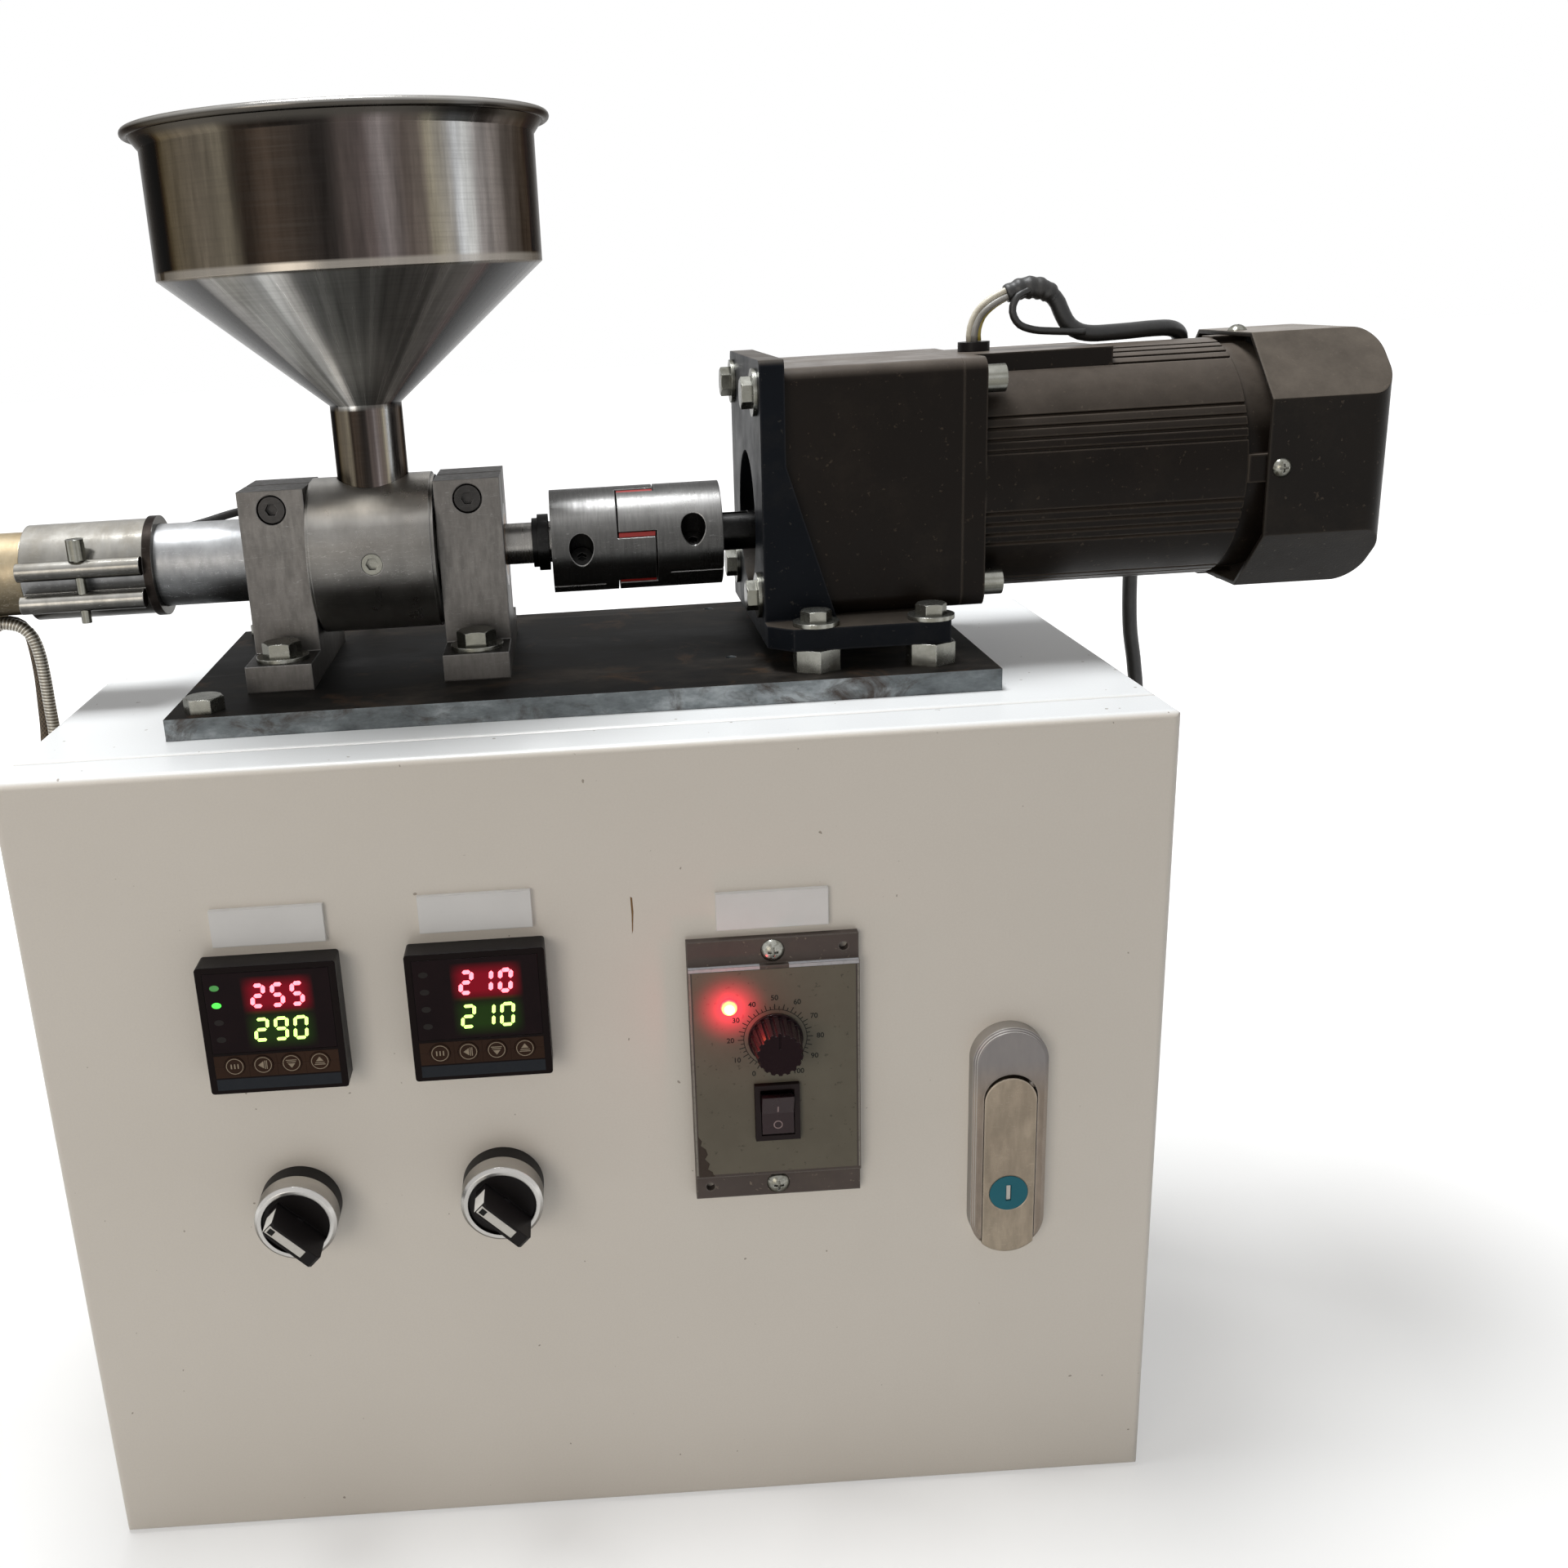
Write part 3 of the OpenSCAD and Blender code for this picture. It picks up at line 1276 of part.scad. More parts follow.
module feed_screw() color("lightgray") {
    start = barrel_x + screw_tip;
    stop = block_r_x - bush_t;
    seat_x = coup_x0 + grip;
    translate([start, axis_y, axis_z]) {
        translate([-screw_nose, 0, 0]) along_x() cylinder(h = screw_nose, r1 = core_r / 4, r2 = core_r);
        xcyl(core_r, stop - start);
        flight(core_r - flight_root, bore_d / 2, flight_t, stop - start - 2 * flight_t, flight_pitch);
    }
    translate([stop, axis_y, axis_z]) xcyl(shaft_d / 2, seat_x - stop);
    translate([stop, axis_y, axis_z]) xcyl(bore_d / 2, bush_t - air);
    translate([coup_x0 - collar_gap - collar_l, axis_y, axis_z]) {
        xcyl(collar_step_r, collar_l);
        translate([collar_step_l, 0, 0]) xcyl(collar_r, collar_l - collar_step_l);
    }
}

module screw_bearings() color("peru") {
    translate([block_r_x + block_t - bush_l, axis_y, axis_z]) difference() {
        xcyl(shaft_d / 2 + bush_t, bush_l);
        translate([-over, 0, 0]) xcyl(shaft_d / 2 + run, bush_l + 2 * over);
    }
}

// Hub standing along +Z with three jaws, clamped by one screw across its slit
module hub(bore, turn, flip) {
    r = coup_d / 2;
    gap = 120 - jaw_angle;
    difference() {
        cylinder(h = hub_l + jaw_l - jaw_gap, r = r);
        translate([0, 0, -over]) cylinder(h = coup_l, r = bore + run);
        translate([0, 0, hub_l]) cylinder(h = coup_l, r = jaw_in_r);
        translate([0, 0, hub_l]) linear_extrude(coup_l) for (k = [0:2]) rotate(turn + 60 + 120 * k)
            polygon([[0, 0], for (a = [-0.5, 0, 0.5]) 2 * r * [cos(a * gap), sin(a * gap)]]);
        translate([0, 0, hub_l * clamp_x_share]) rotate(flip[0]) mirror([0, flip[1], 0]) {
            translate([0, -slit_w / 2, -hub_l]) cube([coup_d, slit_w, hub_l * (1 + clamp_slit_share - clamp_x_share)]);
            translate([clamp_off, 0, 0]) rotate([90, 0, 0]) {
                translate([0, 0, -coup_d / 4]) cylinder(h = coup_d, r = coup_screw_r + fit);
                translate([0, 0, slit_w * 3]) cylinder(h = coup_d, r = coup_bore_r);
            }
        }
    }
}

// Turn of each hub's clamp screw: screw side, then motor side
clamp_turns = [[180 + clamp_swing, 0], [clamp_rise - clamp_swing, 1]];

module coupling_hubs() color("silver") {
    translate([coup_x0, axis_y, axis_z]) along_x() hub(shaft_d / 2, jaw_phase + 30, clamp_turns[0]);
    translate([coup_x1, axis_y, axis_z]) rotate([90, 0, -90]) hub(out_d / 2, 180 - jaw_phase + 30, clamp_turns[1]);
}

module coupling_screws() color("#202020") {
    for (i = [0, 1]) translate([i == 0 ? coup_x0 : coup_x1, axis_y, axis_z]) rotate([90, 0, i == 0 ? 90 : -90])
        translate([0, 0, hub_l * clamp_x_share]) rotate(clamp_turns[i][0]) mirror([0, clamp_turns[i][1], 0])
        translate([clamp_off, -slit_w * 3 - coup_head_l, 0]) along_y()
            cap_screw(coup_head_r, coup_head_l, coup_screw_r, slit_w * 3 + coup_d / 5, hex_socket_r * 0.8);
}

module coupling_spider() color("firebrick") {
    l = jaw_l - 2 * jaw_gap;
    translate([coup_x0 + hub_l + jaw_gap, axis_y, axis_z]) along_x() linear_extrude(l) difference() {
        union() {
            circle(jaw_in_r - air);
            intersection() {
                circle(coup_d / 2 - air);
                for (k = [0:5]) rotate(jaw_phase + 60 * k) polygon([[0, 0],
                    for (s = [-0.5, 0.5]) coup_d * [cos(s * arm_angle), sin(s * arm_angle)]]);
            }
        }
        circle(spider_hole_r);
    }
}

// Spun hopper with a flared, rolled rim
module hopper() color("silver") {
    r = hopper_d / 2;
    n = neck_d / 2;
    z1 = neck_l;
    z2 = z1 + hopper_cone_h;
    z3 = z2 + hopper_cyl_h;
    t = hopper_t;
    translate([feed_x + feed_l / 2, axis_y, axis_z + feed_d / 2]) rotate_extrude() {
        polygon([[n - t, -port_depth], [n, -port_depth], [n, z1], [r, z2], [r, z3 - rim_rise],
            [r + rim_out, z3], [r + rim_out - t, z3 + t / 2], [r - t, z3 - rim_rise + t / 2], [r - t, z2 + t / 2],
            [n - t, z1 + t / 2]]);
        translate([r + rim_out - t / 4, z3 - rim_bead_r / 4]) circle(rim_bead_r, $fn = 16);
    }
}

module motor_bracket() color("#1c2128") {
    half = gear_w / 2 + bracket_over;
    top = gear_z + gear_w / 2 + bracket_top;
    difference() {
        union() {
            translate([bracket_x, axis_y, (foot_z + top) / 2]) along_x() linear_extrude(bracket_t)
                round_rect(2 * half, top - foot_z, case_r / 2);
            for (s = [0, 1]) translate([0, axis_y, 0]) mirror([0, s, 0]) {
                bracket_foot();
                translate([bracket_x, -half, foot_z + foot_t - over]) rotate([90, 0, 0])
                    mirror([0, 0, 1]) linear_extrude(gusset_t) polygon([[0, 0], [gusset_foot, 0],
                        [bracket_t - 1, gusset_top], [gusset_top_w, gusset_top + over], [0, gusset_top]]);
            }
        }
        translate([bracket_x - over, axis_y, axis_z + bracket_hole_up]) xcyl(bracket_hole_r, bracket_t + 2 * over);
        for (p = case_bolt_places()) translate([bracket_x - over, p[0], p[1]])
            xcyl(m6_r + hole_slack, bracket_t + 2 * over);
        for (p = foot_bolt_places()) translate([p[0], p[1], foot_z - over])
            cylinder(h = foot_t + 2 * over, r = m6_r + hole_slack);
    }
}

module bracket_foot() {
    l = bracket_t + foot_l;
    outer = -gear_w / 2 - foot_out;
    inner = -gear_w / 2 + foot_in;
    translate([bracket_x, 0, foot_z]) linear_extrude(foot_t) polygon([[0, inner], [0, outer + foot_chamfer],
        [foot_chamfer, outer], [l, outer], [l, inner]]);
}

// Gearbox shell with the fixed pins that its two idlers turn on
module gearbox_case() color("#2a2521") {
    s = gear_w - 2 * case_wall;
    translate([gear_x, axis_y, gear_z]) {
        difference() {
            union() {
                along_x() linear_extrude(gear_l) round_rect(gear_w, gear_w, case_r);
                translate([-boss_t, 0, -shaft_drop]) xcyl(boss_r, boss_t + over);
            }
            translate([case_front, 0, 0]) along_x() linear_extrude(gear_l) round_rect(s, s, case_r - case_wall / 2);
            translate([-boss_t - over, 0, -shaft_drop]) xcyl(out_d / 2 + run, case_front + boss_t + 2 * over);
            for (y = [-1, 1], z = [-1, 1]) translate([-over, y * case_bolt, z * case_bolt])
                xcyl(m6_r + fit, case_front + 2 * over);
        }
        difference() {
            for (y = [-1, 1], z = [-1, 1]) translate([case_front - over, y * case_bolt, z * case_bolt])
                xcyl(case_wall + m6_r / 2, gear_l - case_front + over);
            for (y = [-1, 1], z = [-1, 1]) translate([gear_l - case_front, y * case_bolt, z * case_bolt])
                xcyl(m6_r + fit, case_front + over);
        }
    }
    arbor(idler_1_c, fast_x + face_a);
    arbor(idler_2_c, mid_x + face_b);
}

module arbor(c, x1) {
    translate([gear_x + case_front - over, axis_y + c[0], gear_z + c[1]])
        xcyl(arbor_r, x1 - gear_x - case_front + over);
}

module output_shaft() color("#1a1a1a") {
    x0 = coup_x1 - grip;
    translate([x0, axis_y, axis_z]) difference() {
        xcyl(out_d / 2, train_x + face_c - x0);
        translate([-over, -out_d / 6, out_d / 2 - out_d / 6]) cube([grip + coup_gap + over, out_d / 3, out_d]);
    }
    translate([train_x, axis_y, axis_z]) along_x()
        wheel(mod_c, wheel_teeth_c, face_c, bearing(out_c, idler_2_c));
}

// Idler on its arbor: a wheel and a pinion cut in one piece
module idler(c, x_pin, w_pin, mod_pin, z_pin, to_next, x_wheel, w_wheel, mod_wheel, z_wheel, to_last) {
    translate([0, axis_y + c[0], gear_z + c[1]]) difference() {
        union() {
            translate([x_pin, 0, 0]) along_x() gear(mod_pin, z_pin, w_pin, to_next);
            translate([x_wheel, 0, 0]) along_x() wheel(mod_wheel, z_wheel, w_wheel, to_last);
        }
        translate([min(x_pin, x_wheel) - over, 0, 0]) xcyl(arbor_r + run, w_pin + w_wheel + 2 * over);
    }
}

module idler_gear_1() color("goldenrod") {
    idler(idler_1_c, mid_x, fast_x - mid_x + over, mod_b, pin_teeth_b, bearing(idler_1_c, idler_2_c),
        fast_x, face_a, mod_a, wheel_teeth_a, bearing(idler_1_c, motor_c));
}

module idler_gear_2() color("goldenrod") {
    idler(idler_2_c, train_x, mid_x - train_x + over, mod_c, pin_teeth_c, bearing(idler_2_c, out_c),
        mid_x, face_b, mod_b, wheel_teeth_b, bearing(idler_2_c, idler_1_c));
}

module rotor() color("slategray") {
    pin_x = fast_x - layer / 2;
    pin_w = face_a + layer;
    core_x = body_x + (motor_l - rotor_l) / 2;
    end_x = cover_x + fan_gap + fan_w - layer;
    translate([pin_x, axis_y, gear_z]) along_x() gear(mod_a, pin_teeth_a, pin_w, bearing(motor_c, idler_1_c));
    translate([pin_x + pin_w - over, axis_y, gear_z]) xcyl(rotor_shaft_r - over, motor_x - pin_x - pin_w + 2 * over);
    translate([motor_x - layer, axis_y, gear_z]) xcyl(rotor_shaft_r, end_x - motor_x + layer);
    translate([core_x, axis_y, gear_z]) xcyl(rotor_r, rotor_l);
}

module cooling_fan() color("#303030") {
    x = cover_x + fan_gap;
    translate([x, axis_y, gear_z]) difference() {
        union() {
            xcyl(fan_hub_r, fan_w);
            xcyl(fan_r * 0.9, fan_blade_t);
            for (k = [0:fan_blades - 1]) rotate([360 * k / fan_blades, 0, 0])
                translate([fan_blade_t / 2, -fan_blade_t / 2, fan_hub_r - over])
                    cube([fan_w - fan_blade_t, fan_blade_t, fan_r - fan_hub_r]);
        }
        translate([-over, 0, 0]) xcyl(rotor_shaft_r + fit / 4, fan_w + 2 * over);
    }
}

// Cross-section of the motor body: round, with groups of fine grooves and a flat pad on top
module motor_section() {
    r = motor_d / 2;
    difference() {
        circle(r, $fn = 96);
        for (g = [0:group_count - 1], k = [0:groove_count - 1])
            rotate(360 / group_count * (g + 0.5) + (k - (groove_count - 1) / 2) * groove_pitch)
                translate([r - groove_deep, -groove_w / 2]) square([2 * groove_deep, groove_w]);
    }
}

module motor_housing() color("#2b2622") {
    r = motor_d / 2;
    translate([motor_x, axis_y, gear_z]) difference() {
        union() {
            along_x() linear_extrude(flange_t) round_rect(gear_w, gear_w, case_r);
            translate([flange_t - over, 0, 0]) along_x() linear_extrude(motor_l + over) motor_section();
            translate([flange_t - over, -pad_half, r / 2]) cube([pad_l + over, 2 * pad_half, r / 2]);
            translate([flange_t + motor_l - over, 0, 0]) xcyl(shield_r, shield_l + over);
            for (a = [0:90:270]) rotate([a, 0, 0]) translate([flange_t + motor_l, -cover_screw_in, 0])
                cube([shield_l, 2 * cover_screw_in, cover_half - cover_t]);
        }
        translate([flange_t + stator_end, 0, 0]) xcyl(rotor_bore, motor_l - 2 * stator_end);
        for (a = [0:90:270]) rotate([a, 0, 0])
            translate([flange_t + motor_l + cover_gap + cover_screw_in, 0, shield_r - cover_screw_h])
                cylinder(h = cover_half, r = m6_r / 2 + fit);
        translate([-over, 0, 0]) xcyl(rotor_shaft_r + run, flange_t + motor_l + shield_l + 2 * over);
        for (y = [-1, 1], z = [-1, 1]) translate([-over, y * case_bolt, z * case_bolt])
            xcyl(m6_r + hole_slack, flange_t + 2 * over);
    }
}

module cover_section(inset) {
    h = cover_half - inset;
    c = cover_chamfer - inset * 0.6;
    polygon([[h - c, h], [h, h - c], [h, c - h], [h - c, -h], [c - h, -h], [-h, c - h], [-h, h - c], [c - h, h]]);
}

// Octagon whose four flats turn over into its end; an inset one is the hollow of the cover
module cover_form(inset) {
    w = 2 * (cover_half - inset);
    l = fan_cover_l - inset + (inset > 0 ? over : 0);
    intersection() {
        along_x() linear_extrude(l) cover_section(inset);
        end_form(l, w);
        rotate([90, 0, 0]) end_form(l, w);
    }
}

// Slab with the outline of the cover's end, rounded at two corners
module end_form(l, w) {
    translate([0, 0, -cover_half]) linear_extrude(2 * cover_half) {
        translate([0, -w / 2]) square([l - cover_round, w]);
        translate([0, cover_round - w / 2]) square([l, w - 2 * cover_round]);
        for (s = [-1, 1]) translate([l - cover_round, s * (w / 2 - cover_round)]) circle(cover_round);
    }
}

module fan_cover() color("#35302c") {
    translate([cover_x, axis_y, gear_z]) difference() {
        cover_form(0);
        translate([-over, 0, 0]) cover_form(cover_t);
        for (i = [-vent_rows:vent_rows]) let (y = i * vent_pitch, half = sqrt(vent_rows * vent_rows + 1 - i * i)
            * vent_half / vent_rows) translate([fan_cover_l - 2 * cover_t, y - vent_w / 2, -half])
            cube([3 * cover_t, vent_w, 2 * half]);
        for (a = [0:90:270]) rotate([a, 0, 0]) translate([cover_screw_in, 0, 0])
            cylinder(h = 2 * cover_half, r = m6_r / 2 + fit);
    }
}

// Screws on the four flats of the fan cover
module at_cover_screws() {
    for (a = [0:90:270]) translate([cover_x + cover_screw_in, axis_y, gear_z]) rotate([a, 0, 0])
        translate([0, 0, cover_half]) children();
}

module motor_lead() color("#151515") tube(motor_route, motor_lead_r);
module heater_lead() color("#1b1b1b") tube(heater_route, heater_lead_r);
module nozzle_lead() color("lightgray") tube(nozzle_route, nozzle_lead_r);
module sensor_lead() color("#6b5a45") tube(sensor_route, sensor_lead_r);

cabinet();
equipment_plate();
solid_state_relays();
terminal_strip();
cable_glands();
hinge_pins();
door();
door_gasket();
label_plates();
temp_controllers();
display_windows();
panel_key(0, 0);  // key_set_1
panel_key(0, 1);  // key_left_1
panel_key(0, 2);  // key_down_1
panel_key(0, 3);  // key_up_1
panel_key(1, 0);  // key_set_2
panel_key(1, 1);  // key_left_2
panel_key(1, 2);  // key_down_2
panel_key(1, 3);  // key_up_2
selector_bodies();
selector_knob(0);  // selector_knob_1
selector_knob(1);  // selector_knob_2
speed_controller();
speed_knob();
rocker_frame();
rocker_switch();
power_lamp();
panel_screws();
lock_escutcheon();
lock_handle();
lock_cylinder();
lock_cam();
base_plate();
hex_bolts();
small_fasteners();
bearing_blocks();
feed_housing();
barrel();
band_heater();
nozzle_heater();
die_head();
feed_screw();
screw_bearings();
coupling_hubs();
coupling_spider();
coupling_screws();
hopper();
motor_bracket();
gearbox_case();
output_shaft();
idler_gear_1();
idler_gear_2();
rotor();
cooling_fan();
motor_housing();
fan_cover();
motor_lead();
heater_lead();
nozzle_lead();
sensor_lead();
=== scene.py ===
"""Looks of the micro plastic extruder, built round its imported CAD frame.

Places, outlines and routes are in millimetres; nodes, lamps and the camera use metres.
"""
import math
import bpy
from mathutils import Matrix, Vector
from mathutils.bvhtree import BVHTree


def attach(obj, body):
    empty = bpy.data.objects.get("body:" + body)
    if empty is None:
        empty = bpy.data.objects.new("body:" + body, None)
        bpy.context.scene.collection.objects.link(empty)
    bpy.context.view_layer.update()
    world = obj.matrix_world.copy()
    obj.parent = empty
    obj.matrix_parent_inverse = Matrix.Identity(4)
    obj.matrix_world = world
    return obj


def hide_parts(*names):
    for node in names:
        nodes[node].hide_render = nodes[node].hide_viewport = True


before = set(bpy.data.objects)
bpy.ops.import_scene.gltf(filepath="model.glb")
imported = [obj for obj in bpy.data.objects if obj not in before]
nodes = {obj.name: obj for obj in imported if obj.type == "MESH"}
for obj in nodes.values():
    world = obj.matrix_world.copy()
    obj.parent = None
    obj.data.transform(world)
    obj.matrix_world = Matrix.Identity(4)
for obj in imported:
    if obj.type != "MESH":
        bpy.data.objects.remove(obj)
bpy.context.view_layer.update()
scene = bpy.context.scene
scene.view_settings.view_transform = "Standard"
MM = 0.001
# Places of solids that the looks follow, in millimetres
AXIS_Y, AXIS_Z = 15.0, 361.5
HOPPER_X = -76.5
SELECTORS = ((-114.5, 144.1), (-40.5, 146.5))
CONTROLLERS = ((-114.3, 219.2), (-43.0, 219.2))
CONTROLLER_SIDE = 48.0
CONTROLLER_FRONT = -110.0
KEY_RISE = 0.3
PANEL_FRONT = -105.0
DIAL_X, DIAL_Z = 59.8, 200.7
ROCKER_Z = 172.0
LAMP_X, LAMP_Z = 43.8, 213.8
LEVER_FRONT = -127.25
DOOR_FRONT = -100.0
# Gap between a sign and the face behind it, and a sign's thickness
GAP = 0.04
INK = 0.02


# Camera
def make_camera():
    data = bpy.data.cameras.new("camera")
    data.lens, data.sensor_width, data.shift_x = 35.29, 36.0, 0.1109
    data.clip_start, data.clip_end = 0.02, 60.0
    camera = bpy.data.objects.new("camera", data)
    scene.collection.objects.link(camera)
    right = Vector((0.99799, -0.02983, -0.05584)).normalized()
    up = Vector((0.06229, 0.30495, 0.95033))
    toward = right.cross(up).normalized()
    up = toward.cross(right)
    camera.matrix_world = Matrix.Translation((0.00109, -0.59187, 0.45496)) @ Matrix(
        (right, up, toward)).transposed().to_4x4()
    scene.camera = camera


make_camera()


# Mesh helpers
def piece(name, verts, faces, body, material=None, smooth=False):
    mesh = bpy.data.meshes.new(name)
    mesh.from_pydata([tuple(v) for v in verts], [], faces)
    mesh.validate()
    obj = bpy.data.objects.new(name, mesh)
    scene.collection.objects.link(obj)
    if smooth:
        mesh.polygons.foreach_set("use_smooth", [True] * len(mesh.polygons))
    if material:
        mesh.materials.append(material)
    if body:
        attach(obj, body)
    return obj


def smooth_path(points, step):
    """Points a step apart on a smooth curve through the given ones."""
    parts = 12
    pts = [Vector(p) * MM for p in points]
    ends = [2 * pts[0] - pts[1]] + pts + [2 * pts[-1] - pts[-2]]
    dense = []
    for i in range(1, len(ends) - 2):
        a, b, c, d = ends[i - 1:i + 3]
        for k in range(parts):
            t = k / parts
            dense.append(0.5 * (2 * b + (c - a) * t + (2 * a - 5 * b + 4 * c - d) * t * t
                                + (3 * b - a - 3 * c + d) * t ** 3))
    dense.append(pts[-1])
    lengths = [0.0]
    for p, q in zip(dense, dense[1:]):
        lengths.append(lengths[-1] + (q - p).length)
    count = max(2, round(lengths[-1] / step))
    out, j = [], 0
    for k in range(count + 1):
        want = lengths[-1] * k / count
        while j < len(dense) - 2 and lengths[j + 1] < want:
            j += 1
        span = lengths[j + 1] - lengths[j] or 1
        out.append(dense[j].lerp(dense[j + 1], (want - lengths[j]) / span))
    return out


def frames_along(path):
    """A normal and a side at each point, turned as little as possible."""
    out, normal = [], None
    for i, p in enumerate(path):
        t = (path[min(i + 1, len(path) - 1)] - path[max(i - 1, 0)]).normalized()
        if normal is None:
            normal = t.orthogonal().normalized()
        normal = (normal - t * normal.dot(t)).normalized()
        out.append((normal, t.cross(normal)))
    return out


def tube(name, path, radius, body, material, sides=20):
    """A closed tube along the path; its UV map runs in metres along it and once round it."""
    verts, faces, uvs, run = [], [], [], 0.0
    turns = frames_along(path)
    for i, p in enumerate(path):
        if i:
            run += (p - path[i - 1]).length
        r = radius(i / (len(path) - 1)) if callable(radius) else radius
        n, s = turns[i]
        for k in range(sides):
            a = 2 * math.pi * k / sides
            verts.append(p + n * math.cos(a) * r + s * math.sin(a) * r)
            uvs.append((run, k / sides))
    for i in range(len(path) - 1):
        for k in range(sides):
            m = (k + 1) % sides
            faces.append((i * sides + k, i * sides + m, (i + 1) * sides + m, (i + 1) * sides + k))
    last = (len(path) - 1) * sides
    faces.append(tuple(reversed(range(sides))))
    faces.append(tuple(range(last, last + sides)))
    obj = piece(name, verts, faces, body, material, True)
    layer = obj.data.uv_layers.new(name="UVMap")
    for poly in obj.data.polygons:
        across = [obj.data.loops[i].vertex_index for i in poly.loop_indices]
        wraps = len(across) == 4 and any(v % sides == sides - 1 for v in across)
        for i, v in zip(poly.loop_indices, across):
            u, w = uvs[v]
            layer.data[i].uv = (u, w + 1 if wraps and v % sides == 0 else w)
    return obj


def flat(name, loops, y, thick, body, material):
    """Outlines in X and Z, in millimetres, as thin plates whose front is at depth y."""
    verts, faces = [], []
    for loop in loops:
        base = len(verts)
        count = len(loop)
        for depth in (y, y + thick):
            verts += [(px * MM, depth * MM, pz * MM) for px, pz in loop]
        area = sum(a[0] * b[1] - b[0] * a[1] for a, b in zip(loop, loop[1:] + loop[:1]))
        front_face = tuple(range(base, base + count))
        back_face = tuple(range(base + count, base + 2 * count))
        faces.append(front_face if area > 0 else front_face[::-1])
        faces.append(back_face[::-1] if area > 0 else back_face)
        for k in range(count):
            m = (k + 1) % count
            side = (base + k, base + count + k, base + count + m, base + m)
            faces.append(side if area > 0 else side[::-1])
    return piece(name, verts, faces, body, material)


def slab(name, xs, ys, zs, body, material):
    """A thin box between the given pairs, in millimetres."""
    corners = [(x * MM, y * MM, z * MM) for z in zs
               for x, y in ((xs[0], ys[0]), (xs[1], ys[0]), (xs[1], ys[1]), (xs[0], ys[1]))]
    sides = [(k, (k + 1) % 4, 4 + (k + 1) % 4, 4 + k) for k in range(4)]
    return piece(name, corners, [(0, 3, 2, 1), (4, 5, 6, 7)] + sides, body, material)


def rectangle(x0, x1, z0, z1):
    return [(x0, z0), (x1, z0), (x1, z1), (x0, z1)]


def ring(cx, cz, r_in, r_out, count=40):
    """Quads of a flat ring."""
    loops = []
    for k in range(count):
        a = 2 * math.pi * k / count
        b = 2 * math.pi * (k + 1) / count
        loops.append([(cx + r * math.sin(t), cz + r * math.cos(t))
                      for r, t in ((r_in, a), (r_out, a), (r_out, b), (r_in, b))])
    return loops


def oval(cx, cz, rx, rz, count=28):
    return [(cx + rx * math.cos(2 * math.pi * k / count), cz + rz * math.sin(2 * math.pi * k / count))
            for k in range(count)]


